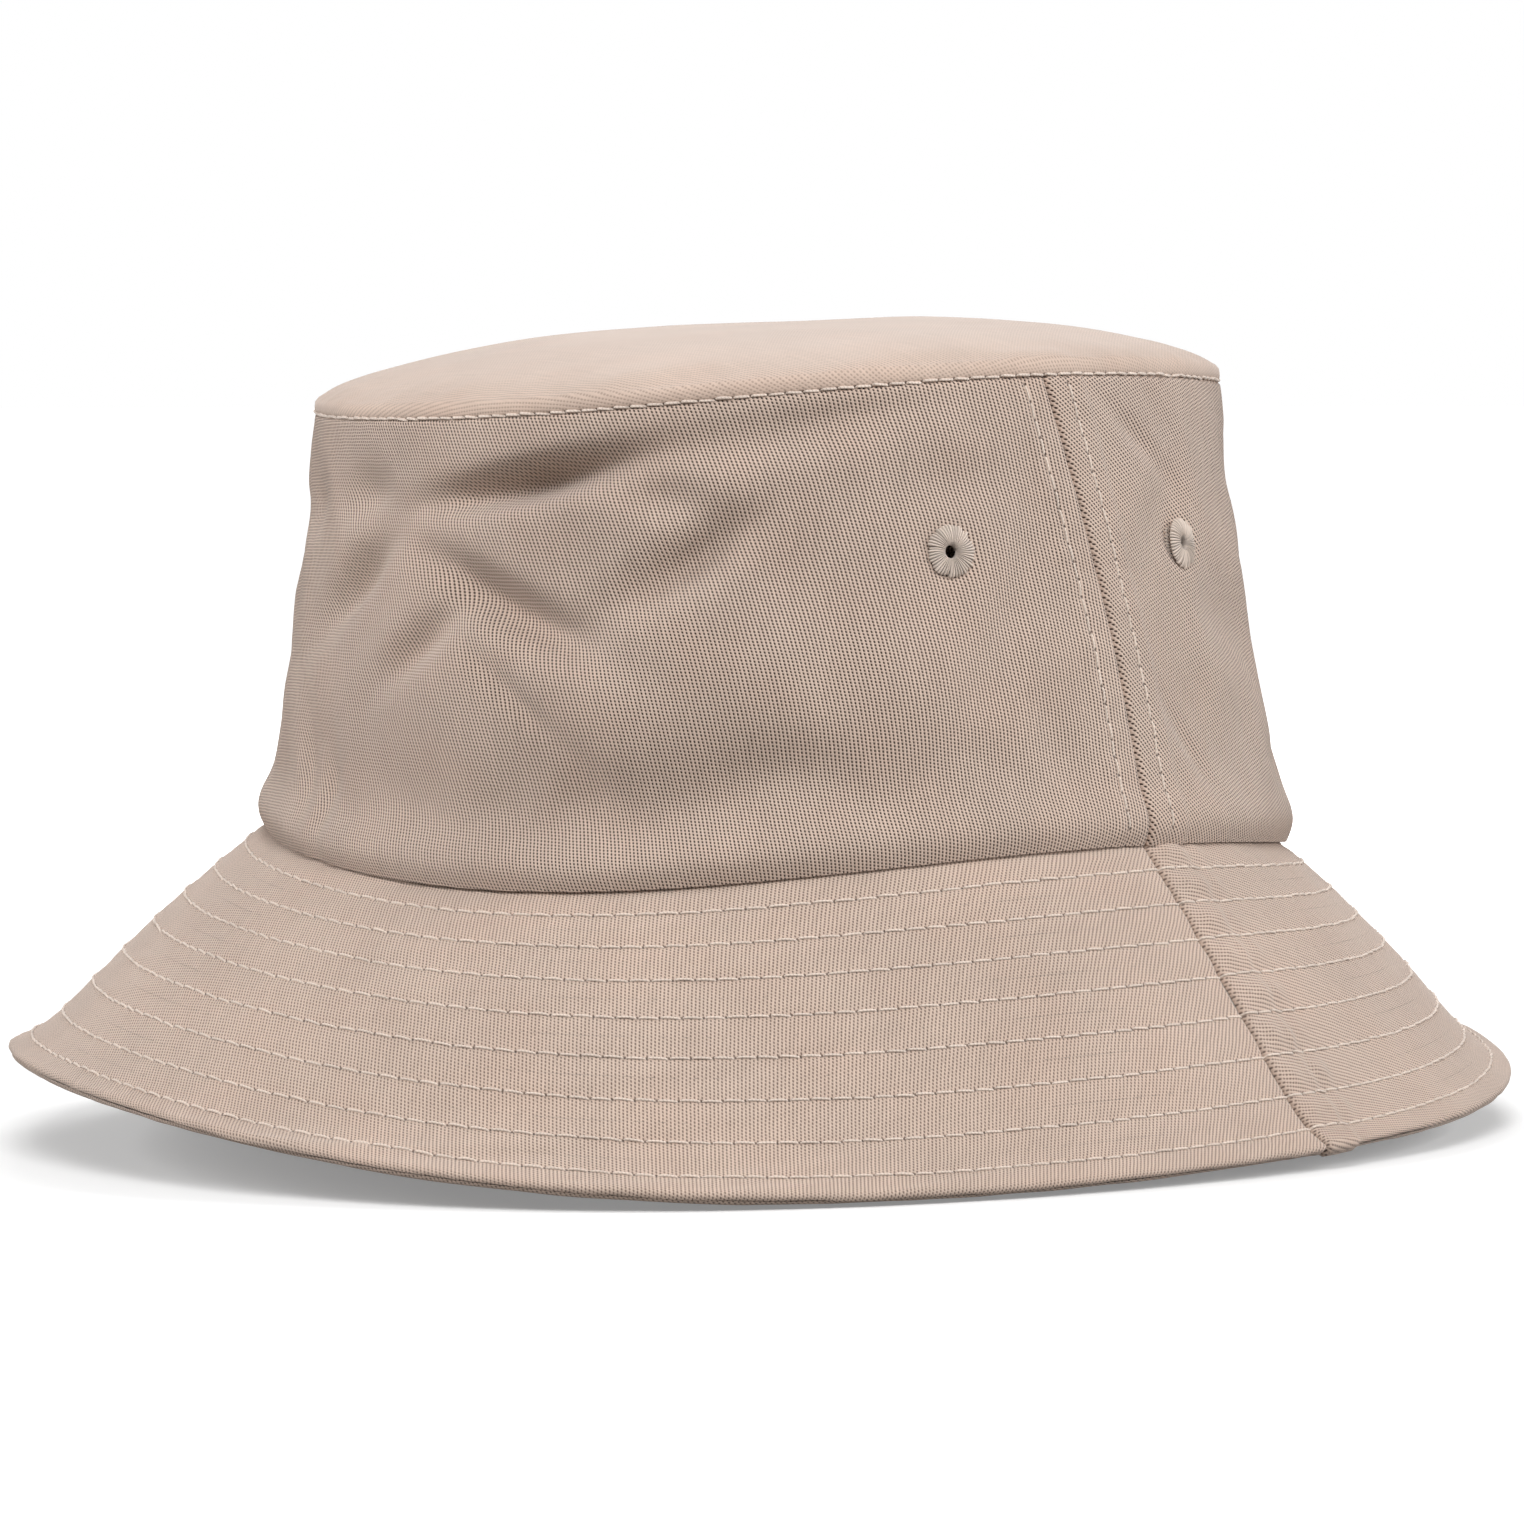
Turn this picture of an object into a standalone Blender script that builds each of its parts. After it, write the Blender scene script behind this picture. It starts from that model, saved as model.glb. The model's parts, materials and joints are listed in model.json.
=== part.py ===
"""Bucket hat, sewn from cotton twill: a flat tip, a two-panel side band and a quilted brim.

Metres, +Z up. The origin is under the middle of the hat's outline, level with the lowest point of
the brim. The front of the hat is -Y and the wearer's left is +X. The side seams are on +X and -X.
Angles go round the middle of the head opening, heights are measured from the seam between crown and
brim, and OPENING_MIDDLE moves both to where they sit above the origin.

Each cloth panel starts as a flat or straight blank, turned with a Screw modifier. A shaping function
then blocks it: it makes the blank oval, leans and twists it, and gives the brim its droop. Solidify
gives the cloth its thickness.
"""

import math

import bmesh
import bpy
from mathutils import Matrix, Vector

MM = 0.001

# Head opening and crown
OPENING_MIDDLE = Vector((2.9 * MM, -0.9 * MM, 54.3 * MM))
HEAD_GIRTH = 594 * MM
OVAL = 5.8 * MM  # half the difference between the hat's half length and half width
CROWN_HEIGHT = 87.1 * MM
TIP_RADIUS = 83.9 * MM
TIP_FLAT_RADIUS = 22 * MM
TIP_DOME = 9.8 * MM
TIP_SHOULDER = 0.65  # below 1, the dome rises steeply from its edge; 1 is a plain arch
SIDE_HOLLOW = 0.8 * MM  # how far the side band is drawn in half way up
BASE_TUCK = 1.6 * MM  # how far the side band curls in to its lower seam
BASE_ROLL = 5.0 * MM  # height of that curl

# The crown leans a little, and its top slopes down towards the front
CROWN_LEAN_FORWARD = 2.4 * MM
TIP_SLOPE_X = 0.005
TIP_SLOPE_Y = 0.049

# Brim
BRIM_WIDTH = 62.5 * MM  # along the slope, from the seam to the rim
BRIM_DROP = 45.1 * MM
BRIM_CREST = 1.2 * MM  # how far the brim arches above a straight slope
RIM_SAG = 3.0 * MM  # how far the outer brim sags back below it before the rim flicks out

# Soft waves of each edge: (lobes round the hat, height, angle of the first crest in degrees)
BASE_WAVES = ((1, 1.2 * MM, -141), (2, 2.6 * MM, 18), (3, 1.6 * MM, -9))
TIP_WAVES = ((2, 1.9 * MM, -24), (3, 0.8 * MM, 0))
DROP_WAVES = ((1, 3.1 * MM, -24), (2, 7.3 * MM, -6), (3, 0.9 * MM, -58))

# The side seams lean: their angle past straight sideways at the tip, the base and the rim
SEAM_ANGLE_TIP = math.radians(-4)
SEAM_ANGLE_BASE = math.radians(4)
SEAM_ANGLE_RIM = math.radians(9.5)
SEAM_BOW = math.radians(2)  # how far they bow out of line half way up the crown

# Cloth
TWILL = 0.6 * MM
BRIM_LAYER = 0.5 * MM
TAPE = 0.4 * MM
SWEATBAND = 0.8 * MM
GAP = 0.3 * MM
LINING_GAP = 0.5 * MM
THREAD_RADIUS = 0.25 * MM

# Trims inside the crown: heights are up the side band from its lower seam
SWEATBAND_HEIGHT = 33 * MM
SWEATBAND_STITCH_DROP = 3 * MM
TAPE_WIDTH = 11 * MM
SIDE_TAPE_FOOT = 6 * MM
SIDE_TAPE_HEAD = 79 * MM
TIP_TAPE_FOOT = 73 * MM
TIP_TAPE_HEAD = 84 * MM

# Stitching on the crown
TIP_STITCH_HEIGHT = 84.5 * MM
SIDE_STITCH_OFFSET = 5.5 * MM
SIDE_STITCH_FOOT = 4 * MM
SIDE_STITCH_HEAD = 82 * MM

# Eyelets, one each side of each side seam
EYELET_ANGLE = math.radians(19)
EYELET_HEIGHT = 54.5 * MM
EYELET_HOLE = 1.1 * MM
EYELET_BARREL = 1.9 * MM
EYELET_FACE = 4.65 * MM
EYELET_FACE_DOME = 0.9 * MM
EYELET_BACK = 4.2 * MM
EYELET_BACK_DOME = 0.5 * MM
WALL_HOLE = EYELET_BARREL + GAP

# Lines where the front and the back of the brim turn up, parallel to X
FOLD_Y = 105.5 * MM
FOLD_Z = {"front": -4.5 * MM, "back": -4.8 * MM}
FOLD_BOX = Vector((320 * MM, 80 * MM, 160 * MM))

# Labels, hinged on the stitching at their lower edge: (width, height, angle round the hat)
CARE_LABEL = (26 * MM, 40 * MM, math.radians(52))
SIZE_LABEL = (14 * MM, 16 * MM, math.radians(90))
LABEL = 0.4 * MM
LABEL_FOOT = 2 * MM
LABEL_CLEAR = 1.1 * MM
TIGHTEST_BEND = 75 * MM  # radius of the oval's tightest curve, which a flat label has to clear
TANGENT_STEP = 1 * MM

# Mesh fineness
STEPS = 48
EYELET_STEPS = 20
SIDE_STITCH_POINTS = 9
SIDE_BANDS = 4
BRIM_BANDS = 5

SWEATBAND_FACE = HEAD_GIRTH / math.tau + SWEATBAND
TAPE_FACE = SWEATBAND_FACE + GAP + TAPE
BASE_RADIUS = TAPE_FACE + LINING_GAP + TWILL
SEAM_RADIUS = BASE_RADIUS - 2 * MM
SEAM_TRIM = GAP / 2 / SEAM_RADIUS

TWILL_COLOR = (0.52, 0.40, 0.33)
TAPE_COLOR = (0.45, 0.34, 0.28)
THREAD_COLOR = (0.62, 0.50, 0.41)
INTERLINING_COLOR = (0.75, 0.72, 0.68)
LABEL_COLOR = (0.85, 0.84, 0.82)


# ---------------------------------------------------------------- the blocked shape


def waves(angle, terms):
    """Height of a set of waves at an angle round the hat."""
    return sum(
        height * math.cos(lobes * (angle - math.radians(crest))) for lobes, height, crest in terms
    )


def mix(a, b, share):
    return a + (b - a) * share


def oval(radius, angle):
    """A point of the hat's oval plan."""
    return (radius - OVAL) * math.cos(angle), (radius + OVAL) * math.sin(angle)


def tip_plane(x, y):
    """Height of the sloping plane that the crown's top edge lies in."""
    return CROWN_HEIGHT + TIP_SLOPE_X * x + TIP_SLOPE_Y * y


def side_point(angle, height, inward=0.0):
    """The side band's outer face at a height up the crown, moved inward by some depth."""
    share = height / CROWN_HEIGHT
    bulge = math.sin(math.pi * share)
    turned = angle + mix(SEAM_ANGLE_BASE, SEAM_ANGLE_TIP, share) + SEAM_BOW * bulge
    curl = BASE_TUCK * max(0.0, 1 - height / BASE_ROLL) ** 2
    drawn_in = curl + SIDE_HOLLOW * bulge
    x, y = oval(mix(BASE_RADIUS, TIP_RADIUS, share) - drawn_in - inward, turned)
    y -= share * CROWN_LEAN_FORWARD
    top = tip_plane(x, y) + waves(turned, TIP_WAVES)
    return OPENING_MIDDLE + Vector((x, y, mix(waves(turned, BASE_WAVES), top, share)))


def tip_point(angle, radius, depth=0.0):
    """The tip's upper face at a distance from its middle, moved down by some depth."""
    turned = angle + SEAM_ANGLE_TIP
    x, y = oval(TIP_RADIUS, turned)
    x, y = x * radius / TIP_RADIUS, y * radius / TIP_RADIUS - CROWN_LEAN_FORWARD
    rise = min(1.0, max(0.0, (radius - TIP_FLAT_RADIUS) / (TIP_RADIUS - TIP_FLAT_RADIUS)))
    dome = TIP_DOME * (1 - rise**2) ** TIP_SHOULDER
    z = tip_plane(x, y) + dome + rise**2 * waves(turned, TIP_WAVES)
    return OPENING_MIDDLE + Vector((x, y, z - depth))


def brim_point(angle, out, depth=0.0):
    """The brim's upper face at a distance out from the seam, moved down through the layers."""
    share = out / BRIM_WIDTH
    turned = angle + mix(SEAM_ANGLE_BASE, SEAM_ANGLE_RIM, share)
    drop = BRIM_DROP + waves(turned, DROP_WAVES)
    reach = math.sqrt(BRIM_WIDTH**2 - drop**2)
    arch = BRIM_CREST * math.sin(math.pi * share) - RIM_SAG * math.sin(math.pi * share**3)
    x, y = oval(SEAM_RADIUS + share * reach - depth * drop / BRIM_WIDTH, turned)
    z = waves(turned, BASE_WAVES) - share * drop + arch - depth * reach / BRIM_WIDTH
    return OPENING_MIDDLE + Vector((x, y, z))


def side_tangent(angle, height):
    """Direction of the side band at one height, anticlockwise seen from above."""
    step = TANGENT_STEP / BASE_RADIUS
    return (side_point(angle + step, height) - side_point(angle - step, height)).normalized()


def axes_matrix(x_axis, y_axis, z_axis):
    return Matrix((x_axis, y_axis, z_axis)).transposed().to_4x4()


# A blank is straight and round: its radius and height say which point of the cloth each point is.


def block_side(angle, radius, height):
    return side_point(angle, height, BASE_RADIUS - radius)


def block_tip(angle, radius, height):
    return tip_point(angle, radius, -height)


def block_brim(angle, radius, height):
    return brim_point(angle, radius - SEAM_RADIUS, -height)


# ---------------------------------------------------------------- building tools


def clear_scene():
    for obj in list(bpy.data.objects):
        bpy.data.objects.remove(obj, do_unlink=True)


def new_collection(name):
    collection = bpy.data.collections.new(name)
    bpy.context.scene.collection.children.link(collection)
    return collection


def new_material(name, color, roughness):
    material = bpy.data.materials.new(name)
    material.use_nodes = True
    shader = material.node_tree.nodes["Principled BSDF"]
    shader.inputs["Base Color"].default_value = (*color, 1)
    shader.inputs["Roughness"].default_value = roughness
    shader.inputs["Metallic"].default_value = 0.0
    return material


def add_object(name, data, collection, material=None):
    obj = bpy.data.objects.new(name, data)
    collection.objects.link(obj)
    if material and not data.materials:
        data.materials.append(material)
    return obj


def turned_mesh(name, profile, start=0.0, span=math.tau, steps=STEPS, closed=False):
    """Mesh of a profile of (radius, height) points, turned about Z from a start angle with Screw."""
    edges = [(i, i + 1) for i in range(len(profile) - 1)]
    if closed:
        edges.append((len(profile) - 1, 0))
    line = bpy.data.meshes.new(name + "_profile")
    line.from_pydata([(radius, 0, height) for radius, height in profile], edges, [])
    line.transform(Matrix.Rotation(start, 4, "Z"))
    blank = add_object(name + "_blank", line, bpy.context.scene.collection)
    screw = blank.modifiers.new("Turn", "SCREW")
    screw.angle = span
    screw.steps = screw.render_steps = steps
    screw.use_merge_vertices = True
    screw.merge_threshold = 0.01 * MM
    graph = bpy.context.evaluated_depsgraph_get()
    mesh = bpy.data.meshes.new_from_object(blank.evaluated_get(graph))
    mesh.name = name
    bpy.data.objects.remove(blank)
    bpy.data.meshes.remove(line)
    return mesh


def block(mesh, shape):
    """Moves every point of a blank to where the shaping function puts it."""
    for vertex in mesh.vertices:
        x, y, height = vertex.co
        vertex.co = shape(math.atan2(y, x), math.hypot(x, y), height)
    mesh.update()


def blocked_mesh(name, profile, shape, **turn):
    mesh = turned_mesh(name, profile, **turn)
    block(mesh, shape)
    mesh.shade_smooth()
    return mesh


def add_cloth(name, mesh, thickness, collection, material):
    """A cloth panel: an outer face that gets its thickness on its inner side."""
    panel = add_object(name, mesh, collection, material)
    shell = panel.modifiers.new("Cloth thickness", "SOLIDIFY")
    shell.thickness = thickness
    shell.offset = -1
    shell.use_even_offset = True
    return panel


def half_turns():
    """How the front and the back panel of a two-panel ring are turned, trimmed at the side seams."""
    span = math.pi - 2 * SEAM_TRIM
    turn = {"span": span, "steps": STEPS // 2}
    return {"front": {"start": math.pi + SEAM_TRIM, **turn}, "back": {"start": SEAM_TRIM, **turn}}


def add_thread(name, points, closed, collection, material):
    """A line of stitching, as one thread through the given points."""
    curve = bpy.data.curves.new(name, "CURVE")
    curve.dimensions = "3D"
    curve.bevel_depth = THREAD_RADIUS
    curve.bevel_resolution = 1
    curve.use_fill_caps = True
    spline = curve.splines.new("POLY")
    spline.points.add(len(points) - 1)
    spline.use_cyclic_u = closed
    for spline_point, place in zip(spline.points, points):
        spline_point.co = (*place, 1)
    return add_object(name, curve, collection, material)


def cut(panel, cutter, operation):
    boolean = panel.modifiers.new(cutter.name, "BOOLEAN")
    boolean.operation = operation
    boolean.solver = "EXACT"
    boolean.object = cutter


def add_cutter(name, mesh, cutters):
    cutter = add_object(name, mesh, cutters)
    cutter.hide_render = True
    cutter.display_type = "WIRE"
    return cutter


def box_mesh(name, size, middle):
    shape = bmesh.new()
    place = Matrix.Translation(middle) @ Matrix.Diagonal((*size, 1))
    bmesh.ops.create_cube(shape, size=1, matrix=place)
    mesh = bpy.data.meshes.new(name)
    shape.to_mesh(mesh)
    shape.free()
    return mesh


# ---------------------------------------------------------------- crown


def side_heights():
    """Heights of the side band's rows of points, closer together where it curls in at its foot."""
    head = CROWN_HEIGHT - TWILL - GAP
    upper = [mix(BASE_ROLL, head, (i + 1) / SIDE_BANDS) for i in range(SIDE_BANDS)]
    return [GAP, BASE_ROLL / 2, BASE_ROLL, *upper]


def add_crown(parts, material):
    """The tip and the two side panels. Returns the side panels by name."""
    rings = [mix(TIP_FLAT_RADIUS, TIP_RADIUS, share) for share in (0, 0.4, 0.7, 0.9, 1)]
    tip = blocked_mesh("crown_tip", [(radius, 0) for radius in (0, *rings)], block_tip)
    add_cloth("crown_tip", tip, TWILL, parts, material)
    profile = [(BASE_RADIUS, height) for height in reversed(side_heights())]
    sides = {}
    for half, turn in half_turns().items():
        name = f"crown_side_{half}"
        mesh = blocked_mesh(name, profile, block_side, **turn)
        sides[half] = add_cloth(name, mesh, TWILL, parts, material)
    return sides


def add_band(name, face, foot, head, thickness, collection, material, **turn):
    """A band inside the crown that follows the side band between two heights."""
    curl = [BASE_ROLL] if foot < BASE_ROLL else []
    profile = [(face, height) for height in (head, (foot + head) / 2, *curl, foot)]
    mesh = blocked_mesh(name, profile, block_side, **turn)
    return add_cloth(name, mesh, thickness, collection, material)


def add_linings(parts, tape, band):
    """Tapes over the raw edges of the side and tip seams, and the sweatband."""
    half_width = TAPE_WIDTH / 2 / BASE_RADIUS
    for side, angle in (("left", 0), ("right", math.pi)):
        turn = {"start": angle - half_width, "span": 2 * half_width, "steps": 2}
        name = f"side_seam_tape_{side}"
        add_band(name, TAPE_FACE, SIDE_TAPE_FOOT, SIDE_TAPE_HEAD, TAPE, parts, tape, **turn)
    tip_face = TAPE_FACE - TAPE - GAP
    add_band("tip_seam_tape", tip_face, TIP_TAPE_FOOT, TIP_TAPE_HEAD, TAPE, parts, tape)
    add_band("sweatband", SWEATBAND_FACE, GAP, SWEATBAND_HEIGHT, SWEATBAND, parts, band)


# ---------------------------------------------------------------- stitching on the crown


def thread_ring(name, height, inward, parts, material):
    """Stitching round the whole crown at one height."""
    angles = [math.tau * i / STEPS for i in range(STEPS)]
    points = [side_point(angle, height, inward) for angle in angles]
    add_thread(name, points, True, parts, material)


def add_crown_stitching(parts, material):
    outward = -(GAP + THREAD_RADIUS)
    thread_ring("tip_topstitch", TIP_STITCH_HEIGHT, outward, parts, material)
    band_back = BASE_RADIUS - SWEATBAND_FACE + SWEATBAND
    height = SWEATBAND_HEIGHT - SWEATBAND_STITCH_DROP
    thread_ring("sweatband_topstitch", height, band_back - outward, parts, material)
    for side, seam, back_sign in (("left", 0, 1), ("right", math.pi, -1)):
        for half, sign in (("front", -back_sign), ("back", back_sign)):
            points = []
            for i in range(SIDE_STITCH_POINTS):
                height = mix(SIDE_STITCH_FOOT, SIDE_STITCH_HEAD, i / (SIDE_STITCH_POINTS - 1))
                angle = seam + sign * SIDE_STITCH_OFFSET / BASE_RADIUS
                points.append(side_point(angle, height, outward))
            add_thread(f"side_topstitch_{side}_{half}", points, False, parts, material)


# ---------------------------------------------------------------- eyelets


def side_frame(angle, height):
    """Matrix at the middle of the side band's cloth, with its Z axis pointing out of the crown."""
    place = side_point(angle, height, TWILL / 2)
    across = side_tangent(angle, height)
    up = side_point(angle, height + TANGENT_STEP, TWILL / 2) - place
    out = across.cross(up).normalized()
    return Matrix.Translation(place) @ axes_matrix(across, out.cross(across), out)


def eyelet_profile():
    """Half section of a worked eyelet, whose threads wrap the cloth round a small hole."""
    face = TWILL / 2 + GAP
    back = -face - LINING_GAP + GAP
    face_top = face + EYELET_FACE_DOME
    back_low = back - EYELET_BACK_DOME
    return [
        (EYELET_HOLE, face_top - 0.4 * EYELET_FACE_DOME),
        (mix(EYELET_HOLE, EYELET_FACE, 0.45), face_top),
        (EYELET_FACE - 0.3 * MM, face_top - 0.3 * EYELET_FACE_DOME),
        (EYELET_FACE, face),
        (EYELET_BARREL, face),
        (EYELET_BARREL, back),
        (EYELET_BACK, back),
        (EYELET_BACK - 0.3 * MM, back_low),
        (EYELET_HOLE, back_low),
    ]


def add_eyelets(sides, parts, cutters, material):
    turn = {"steps": EYELET_STEPS}
    eyelet = turned_mesh("eyelet", eyelet_profile(), closed=True, **turn)
    eyelet.shade_smooth()
    eyelet.set_sharp_from_angle(angle=math.radians(40))
    depth = 3 * MM
    rod = [(0, depth), (WALL_HOLE, depth), (WALL_HOLE, -depth), (0, -depth)]
    drill = turned_mesh("eyelet_drill", rod, **turn)
    for side, seam, back_sign in (("left", 0, 1), ("right", math.pi, -1)):
        for half, sign in (("front", -back_sign), ("back", back_sign)):
            place = side_frame(seam + sign * EYELET_ANGLE, EYELET_HEIGHT)
            add_object(f"eyelet_{side}_{half}", eyelet, parts, material).matrix_world = place
            hole = add_cutter(f"eyelet_hole_{side}_{half}", drill, cutters)
            hole.matrix_world = place
            cut(sides[half], hole, "DIFFERENCE")


# ---------------------------------------------------------------- brim


def brim_mesh(name, depth, turn):
    profile = [(SEAM_RADIUS + BRIM_WIDTH * i / BRIM_BANDS, -depth) for i in range(BRIM_BANDS + 1)]
    return blocked_mesh(name, profile, block_brim, **turn)


def fold_cutters(cutters):
    """For each fold, a box that takes the turn-up off the brim, and one that leaves only the turn-up."""
    found = {}
    for half, sign in (("front", -1), ("back", 1)):
        for use, inner in (("remove", FOLD_Y), ("keep", FOLD_Y + GAP)):
            middle = OPENING_MIDDLE + Vector((0, sign * (inner + FOLD_BOX.y / 2), 0))
            name = f"turnup_{use}_{half}"
            found[half, use] = add_cutter(name, box_mesh(name, FOLD_BOX, middle), cutters)
    return found


def add_fold_axes(parts):
    axes = {}
    for half, sign in (("front", -1), ("back", 1)):
        axes[half] = add_object(f"brim_{half}_turnup_axis", None, parts)
        axes[half].location = OPENING_MIDDLE + Vector((0, sign * FOLD_Y, FOLD_Z[half]))
    return axes


def add_turnup(name, half, mesh, folds, axes, parts, material):
    """The part of a brim layer beyond a fold line. It moves with the fold's axis."""
    turnup = add_cloth(name, mesh, BRIM_LAYER, parts, material)
    cut(turnup, folds[half, "keep"], "INTERSECT")
    turnup.parent = axes[half]
    turnup.matrix_parent_inverse = Matrix.Translation(axes[half].location).inverted()


def add_brim(parts, cutters, twill, interlining):
    folds = fold_cutters(cutters)
    axes = add_fold_axes(parts)
    for layer, number in (("upper", 0), ("under", 2)):
        depth = number * (BRIM_LAYER + GAP)
        for half, turn in half_turns().items():
            name = f"brim_{layer}_{half}"
            mesh = brim_mesh(name, depth, turn)
            panel = add_cloth(name, mesh, BRIM_LAYER, parts, twill)
            cut(panel, folds[half, "remove"], "DIFFERENCE")
            add_turnup(name + "_turnup", half, mesh, folds, axes, parts, twill)
    mesh = brim_mesh("brim_interlining", BRIM_LAYER + GAP, {})
    ring = add_cloth("brim_interlining", mesh, BRIM_LAYER, parts, interlining)
    for half in ("front", "back"):
        cut(ring, folds[half, "remove"], "DIFFERENCE")
        name = f"brim_interlining_{half}_turnup"
        add_turnup(name, half, mesh, folds, axes, parts, interlining)


# ---------------------------------------------------------------- labels


def add_label(name, size, parts, material):
    """A flat label against the sweatband. Its origin is on its lower edge, where it is sewn down."""
    width, height, angle = size
    clear = width**2 / 8 / TIGHTEST_BEND + LABEL_CLEAR
    inward = BASE_RADIUS - SWEATBAND_FACE + SWEATBAND + clear
    foot = side_point(angle, LABEL_FOOT, inward)
    up = (side_point(angle, LABEL_FOOT + height, inward) - foot).normalized()
    along = side_tangent(angle, LABEL_FOOT)
    along = Vector((along.x, along.y, 0)).normalized()
    inner = up.cross(along).normalized()
    mesh = box_mesh(name, (width, LABEL, height), Vector((0, LABEL / 2, height / 2)))
    label = add_object(name, mesh, parts, material)
    label.matrix_world = Matrix.Translation(foot) @ axes_matrix(along, inner, along.cross(inner))


# ---------------------------------------------------------------- the hat


def build():
    clear_scene()
    parts = new_collection("bucket_hat")
    cutters = new_collection("cutters")
    twill = new_material("twill", TWILL_COLOR, 0.9)
    tape = new_material("tape", TAPE_COLOR, 0.85)
    band = new_material("sweatband_cotton", TWILL_COLOR, 0.85)
    thread = new_material("thread", THREAD_COLOR, 0.6)
    interlining = new_material("interlining", INTERLINING_COLOR, 0.95)
    label = new_material("label_satin", LABEL_COLOR, 0.5)
    sides = add_crown(parts, twill)
    add_linings(parts, tape, band)
    add_crown_stitching(parts, thread)
    add_eyelets(sides, parts, cutters, thread)
    add_brim(parts, cutters, twill, interlining)
    add_label("care_label", CARE_LABEL, parts, label)
    add_label("size_label", SIZE_LABEL, parts, label)


build()
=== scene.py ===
"""Looks of the bucket hat: sewn cotton twill panels, stitching, embroidered eyelets, taped seams and
a sweatband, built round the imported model.

Metres, +Z up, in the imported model's frame: the front of the hat is -Y and the wearer's left is +X.
Angles go round the middle of the head opening and heights are measured up from the crown's lower
seam. Each cloth is a fine grid of points laid over the hat's blocked shape, moved along its normal
by a relief of folds, seams and stitch grooves, and given its thickness as a closed shell.
"""

import json
import math

import bpy
import numpy as np
from mathutils import Matrix, Vector

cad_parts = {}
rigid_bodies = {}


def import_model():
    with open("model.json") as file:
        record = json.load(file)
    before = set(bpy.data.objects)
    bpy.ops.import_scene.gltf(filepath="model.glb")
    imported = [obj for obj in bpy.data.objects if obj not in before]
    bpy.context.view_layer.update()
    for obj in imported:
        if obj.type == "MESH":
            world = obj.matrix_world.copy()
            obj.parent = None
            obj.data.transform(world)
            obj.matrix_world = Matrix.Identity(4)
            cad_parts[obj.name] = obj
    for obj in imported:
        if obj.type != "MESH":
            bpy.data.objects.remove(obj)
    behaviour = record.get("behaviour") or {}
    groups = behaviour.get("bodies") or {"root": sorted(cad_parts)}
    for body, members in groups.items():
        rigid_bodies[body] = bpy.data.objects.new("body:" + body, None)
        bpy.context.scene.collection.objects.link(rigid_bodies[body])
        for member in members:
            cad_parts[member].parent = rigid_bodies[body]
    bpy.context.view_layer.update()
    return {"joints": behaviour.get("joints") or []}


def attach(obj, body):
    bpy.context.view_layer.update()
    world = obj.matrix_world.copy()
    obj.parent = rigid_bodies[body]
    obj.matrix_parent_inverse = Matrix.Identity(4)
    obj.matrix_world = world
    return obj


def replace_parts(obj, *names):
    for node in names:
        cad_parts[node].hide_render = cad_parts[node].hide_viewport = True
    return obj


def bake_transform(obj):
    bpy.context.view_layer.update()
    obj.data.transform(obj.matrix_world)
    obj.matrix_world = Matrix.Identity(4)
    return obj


MM = 0.001
TAU = math.tau

# ---------------------------------------------------------------- driving dimensions

# The blocked shape, as in the solid model
OVAL = 5.8 * MM
CROWN_HEIGHT = 87.1 * MM
TIP_RADIUS = 83.9 * MM
TIP_FLAT_RADIUS = 22 * MM
TIP_DOME = 9.8 * MM
TIP_SHOULDER = 0.65
SIDE_HOLLOW = 0.8 * MM
BASE_RADIUS = 97.04 * MM
BASE_TUCK = 1.6 * MM
BASE_ROLL = 5.0 * MM
CROWN_LEAN_FORWARD = 2.4 * MM
TIP_SLOPE_X = 0.005
TIP_SLOPE_Y = 0.049
SEAM_RADIUS = BASE_RADIUS - 2 * MM
BRIM_WIDTH = 62.5 * MM
BRIM_DROP = 45.1 * MM
BRIM_CREST = 1.2 * MM
RIM_SAG = 3.0 * MM
OPENING_HEIGHT = 54.3 * MM
BASE_WAVES = ((1, 1.2 * MM, -141), (2, 2.6 * MM, 18), (3, 1.6 * MM, -9))
TIP_WAVES = ((2, 1.9 * MM, -24), (3, 0.8 * MM, 0))
DROP_WAVES = ((1, 3.1 * MM, -24), (2, 7.3 * MM, -6), (3, 0.9 * MM, -58))
SEAM_ANGLE_TIP = math.radians(-4)
SEAM_ANGLE_BASE = math.radians(4)
SEAM_ANGLE_RIM = math.radians(9.5)
SEAM_BOW = math.radians(2)

# Cloth thicknesses, and how deep each layer lies under the outer face
TWILL = 0.6 * MM
BRIM_LAYER = 0.5 * MM
UNDER_DEPTH = 1.6 * MM
INTERLINING_DEPTH = 0.8 * MM
INTERLINING = 0.5 * MM
TAPE = 0.4 * MM
SIDE_TAPE_DEPTH = 1.1 * MM
SIDE_TAPE_WIDTH = 11 * MM
TIP_TAPE_DEPTH = 1.8 * MM
SWEATBAND = 0.8 * MM
SWEATBAND_DEPTH = 1.7 * MM
SHARP_ANGLE = math.radians(55)
SEAM_GAP = 0.15 * MM / SEAM_RADIUS

# Fineness of the grids
SIDE_STEPS = 430
SIDE_ROWS = 124
TIP_GRID = 300
BRIM_STEPS = 640
BRIM_ROWS = 108
LINING_STEPS = 360

# Edges
RIM_ROLL = 0.85 * MM
RIM_TURN = 2.0
RIM_PUFF = 0.35 * MM
UNDER_PROUD = 0.4 * MM
UPPER_SHORT = 0.5 * MM
BRIM_FOOT = -0.8 * MM
SIDE_HEAD = 86.2 * MM
TIP_OVERLAP = 2.4 * MM

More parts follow.
